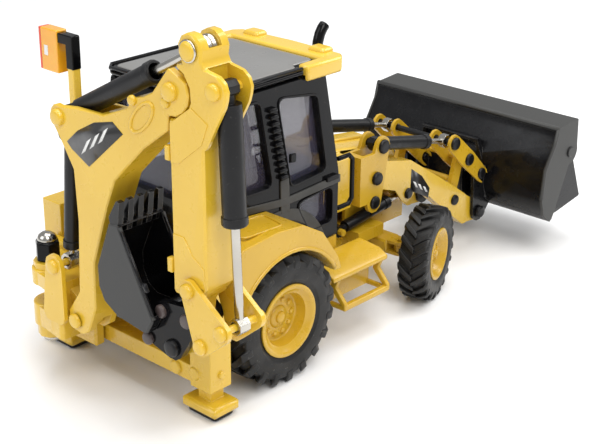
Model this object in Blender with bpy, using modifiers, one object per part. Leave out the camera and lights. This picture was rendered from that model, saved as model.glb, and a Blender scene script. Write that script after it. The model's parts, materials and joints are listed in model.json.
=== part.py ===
"""Toy backhoe loader, about 1:50, as separate moulded and cast pieces with working pivots.

Every size is in millimetres and is turned into metres where a mesh is made. The machine's own
frame has X forward from the rear axle, Y to its left and Z up from the ground. The backhoe is
swung to the right, so it digs in the plane across the machine at X = DIG_X.
"""

import math

import bpy
import bmesh
from mathutils import Matrix, Vector

MM = 0.001
GAP = 0.2

# Where the middle of the whole toy lies in the machine's own frame.
MIDDLE_X = 31.25
MIDDLE_Y = -6.15

# Running gear
WHEELBASE = 43.8
REAR_RADIUS = 12.4
REAR_OUT = 22.6
REAR_IN = 14.0
REAR_RIM = 6.9
FRONT_RADIUS = 9.75
FRONT_WIDTH = 6.2
FRONT_RIM = 5.4
KINGPIN_Y = 12.6
FRONT_OFFSET = 5.4
STEER = math.radians(19.0)

# Cab
CAB_HALF = 13.0
CAB_FLOOR = 19.2
CAB_TOP = 52.6
WALL = 1.3
ROOF_TOP = 54.2

# Backhoe: points are (Y, Z) in the plane X = DIG_X
DIG_X = -26.0
KING_Y = 12.0
FOOT = (0.9, 15.2)
ELBOW = (2.5, 51.7)
TIP = (-25.0, 61.9)
STICK_EYE = (-29.3, 68.9)
LUG = (5.2, 24.4)
BARREL_PIN = (-34.3, 63.8)
STICK_NOSE = (-27.2, 24.8)
IDLER_PIN = (-28.8, 30.95)
IDLER_ROD = (-36.0, 26.1)
IDLER_LINK = (-31.4, 22.2)
COUPLER_LINK = (-23.6, 18.8)
HOOK_HIGH = (-21.3, 24.6)
HOOK_LOW = (-17.9, 18.6)

COUPLER = [(STICK_NOSE, 2.3), (COUPLER_LINK, 2.2), (HOOK_HIGH, 1.7), ((-19.6, 19.2), 1.6)]
COUPLER_IN = 1.5
COUPLER_OUT = 2.9

# Loader: points are (X, Z), and both sides are alike
TOWER_TILT = (40.2, 31.9)
ARM_PIVOT = (38.2, 25.7)
LIFT_BASE = (29.4, 16.4)
LIFT_LUG = (50.0, 18.9)
LEVER_TOP = (63.6, 26.6)
LEVER_MID = (69.1, 21.6)
LEVER_END = (73.9, 17.2)
ARM_LINK = (66.5, 12.6)
HINGE = (75.1, 7.6)
CLAM = (86.0, 22.6)
BUCKET_HALF = 25.0
ARM_IN = 6.4
ARM_OUT = 9.0
ARM_MID = (ARM_IN + ARM_OUT) / 2

YELLOW = ("cast_yellow", (0.80, 0.50, 0.035, 1.0), 0.34, 0.0)
BLACK = ("moulded_black", (0.012, 0.012, 0.013, 1.0), 0.22, 0.0)
DARK = ("painted_black", (0.020, 0.020, 0.022, 1.0), 0.42, 0.0)
RUBBER = ("tyre_rubber", (0.016, 0.016, 0.017, 1.0), 0.72, 0.0)
CHROME = ("bright_rod", (0.78, 0.77, 0.74, 1.0), 0.16, 1.0)
CLEAR = ("tinted_clear", (0.36, 0.38, 0.46, 1.0), 0.08, 0.0)
AMBER = ("amber_lamp", (0.85, 0.42, 0.03, 1.0), 0.25, 0.0)

TURN = {
    "x": Matrix(((0, 0, 1, 0), (1, 0, 0, 0), (0, 1, 0, 0), (0, 0, 0, 1))),
    "y": Matrix(((1, 0, 0, 0), (0, 0, -1, 0), (0, 1, 0, 0), (0, 0, 0, 1))),
    "z": Matrix.Identity(4),
}


def clear_scene():
    for obj in list(bpy.data.objects):
        bpy.data.objects.remove(obj, do_unlink=True)


clear_scene()
PARTS = bpy.data.collections.new("toy_backhoe_loader")
CUTTERS = bpy.data.collections.new("cutters")
for group in (PARTS, CUTTERS):
    bpy.context.scene.collection.children.link(group)
CUTTERS.hide_render = True
ROOT = bpy.data.objects.new("machine_frame", None)
ROOT.location = (-MIDDLE_X * MM, -MIDDLE_Y * MM, 0.0)
PARTS.objects.link(ROOT)


# ---------------------------------------------------------------- shapes


def paint(look):
    name, colour, roughness, metallic = look
    material = bpy.data.materials.get(name) or bpy.data.materials.new(name)
    material.use_nodes = True
    shader = material.node_tree.nodes["Principled BSDF"]
    shader.inputs["Base Color"].default_value = colour
    shader.inputs["Roughness"].default_value = roughness
    shader.inputs["Metallic"].default_value = metallic
    material.diffuse_color = colour
    return material


def add(name, mesh):
    obj = bpy.data.objects.new(name, mesh)
    PARTS.objects.link(obj)
    obj.parent = ROOT
    return obj


def from_bmesh(name, bm):
    mesh = bpy.data.meshes.new(name)
    bm.to_mesh(mesh)
    bm.free()
    return add(name, mesh)


def box(name, x, y, z):
    """A block between two values along each axis."""
    bm = bmesh.new()
    bmesh.ops.create_cube(bm, size=1.0)
    size = [abs(pair[1] - pair[0]) * MM for pair in (x, y, z)]
    middle = [(pair[0] + pair[1]) / 2 * MM for pair in (x, y, z)]
    bmesh.ops.scale(bm, vec=size, verts=bm.verts)
    bmesh.ops.translate(bm, vec=middle, verts=bm.verts)
    return from_bmesh(name, bm)


def disc(name, axis, centre, radius, span, sides=10, tip=None):
    """A round bar along an axis, about a centre given in the plane across that axis."""
    low, high = min(span), max(span)
    bm = bmesh.new()
    bmesh.ops.create_cone(
        bm,
        cap_ends=True,
        segments=sides,
        radius1=radius * MM,
        radius2=(radius if tip is None else tip) * MM,
        depth=(high - low) * MM,
    )
    bmesh.ops.rotate(bm, verts=bm.verts, matrix=Matrix.Rotation(math.pi / sides, 3, "Z"))
    bmesh.ops.translate(bm, verts=bm.verts, vec=(0, 0, (low + high) / 2 * MM))
    bm.transform(place(axis, centre))
    face_outward(bm)
    return from_bmesh(name, bm)


def place(axis, centre):
    """Takes local (a, b, along) to the machine's frame, with the origin at a centre."""
    a, b = centre[0] * MM, centre[1] * MM
    if axis == "x":
        return Matrix.Translation((0, a, b)) @ TURN["x"]
    if axis == "y":
        return Matrix.Translation((a, 0, b)) @ TURN["y"] @ Matrix.Diagonal((1, 1, -1, 1))
    return Matrix.Translation((a, b, 0))


def plate(name, axis, span, outline, holes=()):
    """A flat outline, with round holes, filled between two values along an axis."""
    low, high = min(span), max(span)
    curve = bpy.data.curves.new(name, "CURVE")
    curve.dimensions = "2D"
    curve.fill_mode = "BOTH"
    curve.extrude = (high - low) / 2 * MM
    rings = [outline] + [circle(centre, radius) for centre, radius in holes]
    for ring in rings:
        spline = curve.splines.new("POLY")
        spline.points.add(len(ring) - 1)
        for point, (a, b) in zip(spline.points, ring):
            point.co = (a * MM, b * MM, 0, 1)
        spline.use_cyclic_u = True
    drawn = bpy.data.objects.new(name, curve)
    mesh = bpy.data.meshes.new_from_object(drawn)
    bpy.data.objects.remove(drawn)
    bpy.data.curves.remove(curve)
    bm = bmesh.new()
    bm.from_mesh(mesh)
    bpy.data.meshes.remove(mesh)
    bmesh.ops.remove_doubles(bm, verts=bm.verts, dist=1e-7)
    middle = (low + high) / 2 * MM
    if axis == "y":
        middle = -middle
    bmesh.ops.translate(bm, verts=bm.verts, vec=(0, 0, middle))
    bm.transform(TURN[axis])
    face_outward(bm)
    return from_bmesh(name, bm)


def face_outward(bm):
    bmesh.ops.recalc_face_normals(bm, faces=bm.faces)
    if bm.calc_volume(signed=True) < 0:
        bmesh.ops.reverse_faces(bm, faces=bm.faces)


def circle(centre, radius, sides=10, start=0.0, sweep=360.0):
    """Points round a circle, or round part of one where sweep is less than a full turn."""
    count = sides if sweep == 360.0 else sides + 1
    angles = [math.radians(start + sweep * i / sides) for i in range(count)]
    return [(centre[0] + radius * math.cos(t), centre[1] + radius * math.sin(t)) for t in angles]


def wrapped(discs, sides=10):
    """The tight outline round some discs, each (centre, radius), as for a link or a lug."""
    points = sorted({p for centre, radius in discs for p in circle(centre, radius, sides)})
    chains = []
    for run in (points, points[::-1]):
        chain = []
        for p in run:
            while len(chain) > 1 and turn_of(chain[-2], chain[-1], p) <= 0:
                chain.pop()
            chain.append(p)
        chains += chain[:-1]
    return chains


def grown(discs, amount):
    return [(centre, radius + amount) for centre, radius in discs]


def turn_of(a, b, c):
    return (b[0] - a[0]) * (c[1] - a[1]) - (b[1] - a[1]) * (c[0] - a[0])


def rounded(x, y, radius, sides=3):
    """A rectangle's outline with rounded corners."""
    corners = [(x[1], y[1], 0), (x[0], y[1], 90), (x[0], y[0], 180), (x[1], y[0], 270)]
    points = []
    for a, b, start in corners:
        centre = (a - radius if a == x[1] else a + radius, b - radius if b == y[1] else b + radius)
        points += circle(centre, radius, sides, start, 90.0)
    return points


def tube(name, points, radius, sides=2):
    """A round bar along a route."""
    curve = bpy.data.curves.new(name, "CURVE")
    curve.dimensions = "3D"
    curve.bevel_depth = radius * MM
    curve.bevel_resolution = sides
    curve.use_fill_caps = True
    spline = curve.splines.new("POLY")
    spline.points.add(len(points) - 1)
    for point, (x, y, z) in zip(spline.points, points):
        point.co = (x * MM, y * MM, z * MM, 1)
    drawn = bpy.data.objects.new(name, curve)
    mesh = bpy.data.meshes.new_from_object(drawn)
    bpy.data.objects.remove(drawn)
    bpy.data.curves.remove(curve)
    bm = bmesh.new()
    bm.from_mesh(mesh)
    bpy.data.meshes.remove(mesh)
    bmesh.ops.remove_doubles(bm, verts=bm.verts, dist=1e-7)
    face_outward(bm)
    return from_bmesh(name, bm)


def turned(name, profile, steps=24):
    """A turned solid: a profile of (radius, height), down its outer side, about local Z."""
    mesh = bpy.data.meshes.new(name)
    points = [(r * MM, 0, h * MM) for r, h in profile]
    closed = profile[0][0] > 0 and profile[-1][0] > 0
    edges = [(i, i + 1) for i in range(len(points) - 1)]
    if closed:
        edges.append((len(points) - 1, 0))
    mesh.from_pydata(points, edges, [])
    obj = add(name, mesh)
    screw = obj.modifiers.new("Turn", "SCREW")
    screw.steps = steps
    screw.render_steps = steps
    screw.use_merge_vertices = True
    screw.merge_threshold = 1e-6
    screw.use_normal_calculate = False
    return obj


# ------------------------------------------------------------ operations


def set_aside(tool):
    """Keeps a Boolean's second shape out of the render."""
    PARTS.objects.unlink(tool)
    CUTTERS.objects.link(tool)
    tool.hide_render = True
    tool.display_type = "WIRE"


def combine(obj, tools, operation):
    for tool in tools:
        set_aside(tool)
        step = obj.modifiers.new(operation.title(), "BOOLEAN")
        step.operation = operation
        step.solver = "EXACT"
        step.object = tool
    return obj


def union(obj, *tools):
    return combine(obj, tools, "UNION")


def cut(obj, *tools):
    return combine(obj, tools, "DIFFERENCE")


def ease(obj, width, angle=40.0):
    """Small flats along the sharp edges, as a casting has."""
    step = obj.modifiers.new("Eased edges", "BEVEL")
    step.width = width * MM
    step.segments = 1
    step.limit_method = "ANGLE"
    step.angle_limit = math.radians(angle)
    step.use_clamp_overlap = True
    return obj


def finish(obj, look, pivot=(0.0, 0.0, 0.0)):
    """Sets the material, puts the origin on the pivot and shades round faces smooth."""
    obj.data.materials.clear()
    obj.data.materials.append(paint(look))
    shift = Vector(pivot) * MM
    obj.data.transform(Matrix.Translation(-shift))
    obj.location = obj.location + shift
    if len(obj.data.polygons):
        obj.data.shade_smooth()
        obj.data.set_sharp_from_angle(angle=math.radians(35.0))
    return obj


def sided(side, low, high):
    """A span of distances from the centre plane, on the left (+1) or the right (-1)."""
    return (side * low, side * high)


def dig_span(reach):
    """A span of X to both sides of the digging plane."""
    return (DIG_X - reach, DIG_X + reach)


def toward(start, end, distance):
    """The point at a distance from start on the way to end."""
    length = math.hypot(end[0] - start[0], end[1] - start[1])
    return tuple(s + (e - s) * distance / length for s, e in zip(start, end))


def bar_between(name, axis, start, end, radius, middle, sides=14):
    """A round bar across the plane of an axis, from one point to another, at middle along it."""
    length = math.hypot(end[0] - start[0], end[1] - start[1])
    bm = bmesh.new()
    bmesh.ops.create_cone(
        bm,
        cap_ends=True,
        segments=sides,
        radius1=radius * MM,
        radius2=radius * MM,
        depth=length * MM,
    )
    bmesh.ops.translate(bm, verts=bm.verts, vec=(0, 0, length / 2 * MM))
    if axis == "x":
        base = Vector((middle, start[0], start[1]))
        way = Vector((0, end[0] - start[0], end[1] - start[1]))
    else:
        base = Vector((start[0], middle, start[1]))
        way = Vector((end[0] - start[0], 0, end[1] - start[1]))
    spin = way.to_track_quat("Z", "Y").to_matrix().to_4x4()
    bm.transform(Matrix.Translation(base * MM) @ spin)
    return from_bmesh(name, bm)


def pivot_at(axis, point, middle):
    """A pivot point in the machine's frame from a point in the plane across an axis."""
    return (middle, point[0], point[1]) if axis == "x" else (point[0], middle, point[1])


def cylinder_pair(tag, axis, middle, ends, radii, eye, gland, spare, forked=0.0):
    """A hydraulic cylinder: a bored barrel on the base pin, and a rod on the end pin.

    ends are the two pins and radii the barrel's, its bore's and the rod's. eye is (radius,
    thickness, hole) at both pins, gland is the distance from the base pin to the barrel's open
    end and spare is how far the rod reaches in. A forked base has two cheeks, that far apart.
    """
    base, end = ends
    barrel, bore, rod = radii
    radius, thick, hole = eye
    half = thick / 2
    shell = bar_between(
        tag + "_barrel", axis, toward(base, end, radius + 0.9), toward(base, end, gland), barrel, middle, 16
    )
    collar = bar_between(
        tag + "_collar",
        axis,
        toward(base, end, gland - 1.5),
        toward(base, end, gland - 0.2),
        barrel + 0.18,
        middle,
        16,
    )
    if forked:
        ears = [(middle - forked - 0.8, middle - forked), (middle + forked, middle + forked + 0.8)]
        # The fork's two cheeks reach from the pin to the barrel's closed end.
        reach = toward(base, end, radius + 1.8)
        shape = wrapped([(base, radius), (reach, radius * 0.8)])
        cheeks = [plate(tag + "_cheek", axis, span, shape, [(base, hole)]) for span in ears]
        across = (middle - forked - 0.4, middle + forked + 0.4)
        neck_block = disc(tag + "_stop", axis, toward(base, end, radius + 1.5), 0.5, across, 8)
        union(shell, collar, neck_block, *cheeks)
    else:
        neck = bar_between(tag + "_neck", axis, base, toward(base, end, radius + 1.6), half * 0.9, middle, 8)
        lug = disc(tag + "_lug", axis, base, radius, (middle - half, middle + half), 8)
        union(shell, collar, neck, lug)
        cut(shell, disc(tag + "_pin_hole", axis, base, hole, (middle - half - 1, middle + half + 1), 8))
    closed_end, mouth = toward(base, end, radius + 2.6), toward(base, end, gland + 1.0)
    hollow = bar_between(tag + "_hollow", axis, closed_end, mouth, bore, middle, 12)
    cut(shell, hollow)
    finish(shell, DARK, pivot_at(axis, base, middle))
    length = math.hypot(end[0] - base[0], end[1] - base[1])
    inner_end, outer_end = toward(base, end, gland - spare), toward(base, end, length - 0.1)
    stem = bar_between(tag + "_rod", axis, inner_end, outer_end, rod, middle, 10)
    head = disc(tag + "_rod_eye", axis, end, radius, (middle - half, middle + half), 8)
    union(stem, head)
    cut(stem, disc(tag + "_rod_hole", axis, end, hole, (middle - half - 1, middle + half + 1), 8))
    finish(stem, CHROME, pivot_at(axis, end, middle))


# ----------------------------------------------------------- main chassis


def main_frame():
    frame = box("main_frame", (-13.2, 38.6), (-5.0, 5.0), (11.0, 16.0))
    axle = box("axle_case", (-2.4, 2.4), (-12.4, 12.4), (10.0, 14.8))
    stubs = disc("rear_stub", "y", (0, REAR_RADIUS), 1.5, (-16.6, 16.6), 16)
    deck = box("deck", (-12.4, 23.4), (-12.6, 12.6), (14.4, CAB_FLOOR - GAP))
    nose = box("nose", (38.0, 52.0), (-6.1, 6.1), (12.6, 17.6))
    sill = box("tower_sill", (33.4, 41.2), (-9.9, 9.9), (12.8, 15.2))
    trunnion = disc("axle_pin", "x", (0, FRONT_RADIUS), 0.8, (39.6, 48.2), 8)
    shape = wrapped([((0, FRONT_RADIUS), 1.6), ((-2.4, 13.2), 0.6), ((2.4, 13.2), 0.6)])
    hangers = [plate("hanger", "x", span, shape) for span in ((39.2, 40.4), (47.4, 48.6))]
    pieces = [axle, stubs, deck, nose, sill, trunnion] + hangers
    for side in (-1, 1):
        low = (37.9, 20.6)
        outline = wrapped([(TOWER_TILT, 2.1), (ARM_PIVOT, 2.6), (low, 2.2)])
        for span in ((5.4, 6.2), (9.2, 10.0)):
            holes = [(TOWER_TILT, 1.0)]
            pieces.append(plate("tower_cheek", "y", sided(side, *span), outline, holes))
        pieces.append(disc("arm_pin", "y", ARM_PIVOT, 0.9, sided(side, 5.3, 10.3), 8))
        pieces.append(disc("low_pin", "y", low, 0.9, sided(side, 9.0, 10.3), 8))
        # The web stands behind the arm's end and leaves room below for the lift cylinder.
        pieces.append(box("tower_web", (33.4, 35.0), sided(side, 5.4, 10.0), (20.8, 31.0)))
        pieces.append(box("tower_inner", (33.4, 38.6), sided(side, 5.4, 6.2), (14.0, 31.0)))
        pieces.append(box("tower_outer", (33.4, 38.2), sided(side, 9.2, 10.0), (20.8, 31.0)))
        pieces.append(disc("lift_pin", "y", LIFT_BASE, 0.7, sided(side, 6.0, 9.4), 8))
        pieces.append(box("lift_ear", (28.2, 30.6), sided(side, 5.4, 6.5), (14.6, 17.8)))
        pieces.append(box("lift_ear_foot", (28.2, 30.6), sided(side, 4.6, 6.5), (13.4, 15.6)))
    union(frame, *pieces)
    finish(frame, YELLOW)


def front_running_gear():
    centre = (WHEELBASE, 0, FRONT_RADIUS)
    beam = box("front_axle", (41.4, 46.2), (-10.4, 10.4), (8.3, 11.2))
    ease(beam, 0.4)
    ends = []
    for side in (-1, 1):
        for low, high in ((8.3, 8.9), (10.6, 11.2)):
            ends.append(
                plate(
                    "axle_fork",
                    "z",
                    (low, high),
                    wrapped([((WHEELBASE, side * KINGPIN_Y), 1.6), ((WHEELBASE, side * 10.2), 1.8)]),
                    [((WHEELBASE, side * KINGPIN_Y), 0.85)],
                )
            )
    union(beam, *ends)
    cut(beam, disc("axle_bore", "x", (0, FRONT_RADIUS), 1.0, (40, 48), 8))
    finish(beam, YELLOW, centre)
    for side, tag in ((1, "l"), (-1, "r")):
        pivot = Vector((WHEELBASE, side * KINGPIN_Y, FRONT_RADIUS))
        knuckle = disc("knuckle_" + tag, "z", (WHEELBASE, side * KINGPIN_Y), 0.65, (7.9, 11.6), 8)
        body = disc("knuckle_body", "z", (WHEELBASE, side * KINGPIN_Y), 1.4, (9.1, 10.4), 8)
        stub = disc("front_stub", "y", (WHEELBASE, FRONT_RADIUS), 0.6, sided(side, 13.2, 17.6), 8)
        union(knuckle, body, stub)
        finish(knuckle, YELLOW, pivot)
        for piece in (knuckle, body, stub):
            steer(piece, pivot)


def steer(obj, pivot):
    """Turns a piece about the upright through a pivot by the rest steering angle."""
    about = Matrix.Translation(pivot * MM)
    obj.matrix_basis = about @ Matrix.Rotation(STEER, 4, "Z") @ about.inverted() @ obj.matrix_basis


def rim_profile(radius, width, dish, bore):
    """Radius and height of a dished rim, with height 0 at its outer face."""
    return [
        (0.0, -dish + 0.7),
        (radius * 0.26, -dish + 0.6),
        (radius * 0.30, -dish),
        (radius * 0.68, -dish),
        (radius * 0.88, -0.2),
        (radius, -0.2),
        (radius, -width + 0.2),
        (radius * 0.84, -width + 0.2),
        (radius * 0.70, -dish - 1.4),
        (bore + 0.9, -dish - 1.4),
        (bore + 0.9, -width * 0.62),
        (bore, -width * 0.62),
        (bore, -dish - 1.2),
        (0.0, -dish - 1.2),
    ]


def tyre_profile(radius, rim, width):
    """Radius and height of a tyre's section with rounded shoulders, height 0 at its outer face."""
    shoulder = radius * 0.10
    return [
        (rim, 0.0),
        (radius - shoulder, 0.0),
        (radius, -shoulder),
        (radius, -width + shoulder),
        (radius - shoulder, -width),
        (rim, -width),
    ]


def wheels():
    for side, tag in ((1, "l"), (-1, "r")):
        face = Matrix.Rotation(-side * math.pi / 2, 4, "X")
        rear = Matrix.Translation((0, side * REAR_OUT * MM, REAR_RADIUS * MM)) @ face
        pivot = Vector((WHEELBASE, side * KINGPIN_Y, FRONT_RADIUS))
        out = side * (KINGPIN_Y + FRONT_OFFSET + FRONT_WIDTH / 2)
        front = Matrix.Translation((WHEELBASE * MM, out * MM, FRONT_RADIUS * MM)) @ face
        width = REAR_OUT - REAR_IN
        sets = [
            ("rear_rim_" + tag, rim_profile(REAR_RIM - 0.2, width, 3.0, 1.75), YELLOW, rear, None),
            ("rear_tyre_" + tag, tyre_profile(REAR_RADIUS, REAR_RIM, width), RUBBER, rear, None),
            ("front_rim_" + tag, rim_profile(FRONT_RIM - 0.2, FRONT_WIDTH, 1.7, 0.8), YELLOW, front, pivot),
            ("front_tyre_" + tag, tyre_profile(FRONT_RADIUS, FRONT_RIM, FRONT_WIDTH), RUBBER, front, pivot),
        ]
        for name, profile, look, where, about in sets:
            wheel = turned(name, profile, 24 if "tyre" in name else 16)
            wheel.matrix_basis = where
            wheel.data.materials.append(paint(look))
            if about is not None:
                steer(wheel, about)


# -------------------------------------------------------- cab and bodywork

CAB_SIDE = [(-12.2, CAB_FLOOR), (23.6, CAB_FLOOR), (23.8, 32.4)]
CAB_SIDE += [(19.6, CAB_TOP), (-9.4, CAB_TOP), (-12.4, 33.0)]
CAB_INSIDE = [(-10.8, 21.0), (22.2, 21.0), (22.4, 32.3)]
CAB_INSIDE += [(18.4, CAB_TOP - WALL), (-8.2, CAB_TOP - WALL), (-11.0, 33.1)]


def shrunk(outline, amount):
    """An outline drawn in by an amount, for a convex shape given anticlockwise."""
    count = len(outline)
    lines = []
    for i in range(count):
        (ax, ay), (bx, by) = outline[i], outline[(i + 1) % count]
        length = math.hypot(bx - ax, by - ay)
        nx, ny = -(by - ay) / length, (bx - ax) / length
        lines.append((nx, ny, nx * ax + ny * ay + amount))
    points = []
    for i in range(count):
        (a, b, c), (d, e, f) = lines[i - 1], lines[i]
        scale = a * e - b * d
        points.append(((c * e - b * f) / scale, (a * f - c * d) / scale))
    return points


def window(corners, radius):
    """A window's outline: a polygon with its corners rounded."""
    return wrapped([(corner, radius) for corner in shrunk(corners, radius)], 12)


def cab():
    frame = plate("cab_frame", "y", (-CAB_HALF, CAB_HALF), CAB_SIDE)
    ease(frame, 0.5)
    room = plate("cab_room", "y", (-CAB_HALF + WALL, CAB_HALF - WALL), CAB_INSIDE)
    rear_side = window([(-7.6, 34.4), (5.2, 34.0), (2.0, 50.4), (-6.4, 50.4)], 1.0)
    door = window([(10.2, 32.8), (19.6, 33.4), (16.8, 48.4), (6.6, 50.0)], 1.2)
    low = window([(15.2, 22.6), (21.4, 22.6), (21.4, 29.6), (11.6, 28.8)], 0.8)
    openings = [plate("side_window", "y", (-15, 15), outline) for outline in (rear_side, door, low)]
    front = plate("front_window", "x", (16.0, 26.0), rounded((-10.4, 10.4), (24.0, 49.6), 1.5))
    rear = plate("rear_window", "x", (-14.0, -6.0), rounded((-10.6, 10.6), (34.6, 50.0), 1.5))
    cut(frame, room, *openings, front, rear)
    finish(frame, BLACK)
    outside = shrunk(CAB_INSIDE, GAP)
    glass = plate("cab_glazing", "y", (-CAB_HALF + WALL + GAP, CAB_HALF - WALL - GAP), outside)
    inside = shrunk(CAB_INSIDE, GAP + 0.6)
    inside = [(x, z - 2.0 if z < 25 else z) for x, z in inside]
    cut(glass, plate("glass_room", "y", (-CAB_HALF + WALL + 0.8, CAB_HALF - WALL - 0.8), inside))
    finish(glass, CLEAR)


def roof():
    back, front, half = -10.4, 19.2, 13.6
    notch = 13.2
    outline = [
        (back + 2.0, -half),
        (notch, -half),
        (notch, -11.2),
        (front, -11.2),
        (front, 11.2),
        (notch, 11.2),
        (notch, half),
        (back + 2.0, half),
        (back, half - 2.0),
        (back, -half + 2.0),
    ]
    panel = plate("roof_panel", "z", (CAB_TOP + GAP, ROOF_TOP), outline)
    ease(panel, 0.5)
    finish(panel, DARK)
    visor = plate(
        "roof_visor",
        "z",
        (CAB_TOP - 0.9, ROOF_TOP + 0.5),
        [
            (notch + GAP, -14.0),
            (22.4, -14.0),
            (24.2, -12.6),
            (24.8, 0.0),
            (24.2, 12.6),
            (22.4, 14.0),
            (notch + GAP, 14.0),
            (notch + GAP, 11.4),
            (front + GAP, 11.4),
            (front + GAP, -11.4),
            (notch + GAP, -11.4),
        ],
    )
    ease(visor, 0.4)
    under = box("visor_under", (0, 19.9), (-13.2, 13.2), (CAB_TOP - 3, CAB_TOP + GAP))
    cut(visor, under)
    finish(visor, YELLOW)


def bodywork():
    outline = [(24.2, 18.0), (50.6, 18.0), (50.8, 27.0), (48.6, 29.6), (24.2, 33.2)]
    hood = plate("engine_hood", "y", (-5.1, 5.1), outline)
    ease(hood, 0.7)
    shoulder = box("hood_shoulder", (24.2, 32.6), (-8.4, 8.4), (20.6, 31.4))
    union(hood, shoulder)
    finish(hood, YELLOW)
    stack = [(27.0, -4.0, 33.0), (27.0, -4.0, 54.4), (27.4, -4.0, 55.6), (28.6, -4.0, 57.8)]
    finish(tube("exhaust_stack", stack, 0.9), BLACK)
    for side, tag in ((1, "l"), (-1, "r")):
        arch = circle((0, REAR_RADIUS), 13.2, 12, 27.5, 125.0)
        outline = [(13.5, 18.5), (12.6, 21.0), (8.4, 27.0), (3.2, 30.0), (-3.4, 30.6), (-11.6, 29.9)]
        outline += [(-13.6, 28.0), (-13.8, 18.5)] + arch[::-1]
        fender = plate("rear_fender_" + tag, "y", sided(side, CAB_HALF + 0.3, REAR_OUT), outline)
        ease(fender, 0.5)
        finish(fender, YELLOW)
        step = box("step_" + tag, (14.2, 30.0), sided(side, 12.9, 20.0), (15.1, 16.3))
        ease(step, 0.3)
        apron = box("step_apron", (16.6, 30.0), sided(side, 14.6, 15.8), (8.4, 15.6))
        tread = box("step_tread", (16.6, 30.0), sided(side, 14.8, 21.0), (7.6, 8.6))
        posts = [
            plate(
                "step_post",
                "x",
                span,
                [(side * 18.4, 15.5), (side * 19.8, 15.5), (side * 20.8, 8.2), (side * 19.4, 8.2)],
            )
            for span in ((16.6, 17.7), (28.9, 30.0))
        ]
        union(step, apron, tread, *posts)
        finish(step, YELLOW)
        y = side * 12.0
        low, high, out = 24.0, 34.0, 28.4
        route = [(24.2, y, high), (out - 1.0, y, high), (out, y, high - 1.0)]
        route += [(out, y, low + 1.0), (out - 1.0, y, low), (24.2, y, low)]
        finish(tube("handrail_" + tag, route, 0.5), BLACK)


def rear_end():
    frame = box("rear_frame", (-19.2, -15.6), (-17.2, 17.2), (6.0, 9.2))
    rails = [box("upper_rail", (-19.2, -15.6), (-17.2, 17.2), (19.0, 22.0))]
    rails += [box("frame_web", (-16.2, -13.6), sided(side, 3.0, 5.0), (8.6, 21.6)) for side in (-1, 1)]
    rails.append(disc("rail_boss", "x", (-18.0, 8.0), 1.2, (-19.6, -19.0)))
    sockets = []
    for side in (-1, 1):
        rails.append(box("leg_tube", (-19.2, -14.2), sided(side, 16.8, 21.9), (5.3, 29.5)))
        sockets.append(box("leg_room", (-18.5, -14.9), sided(side, 17.5, 21.2), (4.0, 28.4)))
    union(frame, *rails)
    cut(frame, *sockets)
    finish(frame, YELLOW)
    for side, tag in ((1, "l"), (-1, "r")):
        pivot = (-16.7, side * 19.35, 3.0)
        leg = box("stabiliser_leg_" + tag, (-18.25, -15.15), sided(side, 17.75, 20.95), (2.4, 24.0))
        pad = box("leg_pad", (-20.0, -13.6), sided(side, 15.0, 23.6), (0.9, 3.1))
        sole = box("leg_sole", (-19.0, -14.6), sided(side, 16.0, 22.6), (0.3, 1.2))
        ease(pad, 0.6)
        union(leg, pad, sole)
        finish(leg, YELLOW, pivot)
        post = box("tail_lamp_" + tag, (-15.9, -14.1), sided(side, 14.8, 16.5), (22.2, 55.2))
        arm = box("lamp_arm", (-15.8, -14.2), sided(side, 14.9, 19.0), (58.4, 60.4))
        riser = box("lamp_riser", (-15.8, -14.2), sided(side, 14.9, 16.4), (54.0, 60.4))
        lamp = box("lamp_case", (-16.2, -13.8), sided(side, 18.6, 23.8), (52.9, 60.7))
        ease(lamp, 0.3)
        union(post, arm, riser, lamp)
        finish(post, AMBER)


# ----------------------------------------------------------------- backhoe


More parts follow.
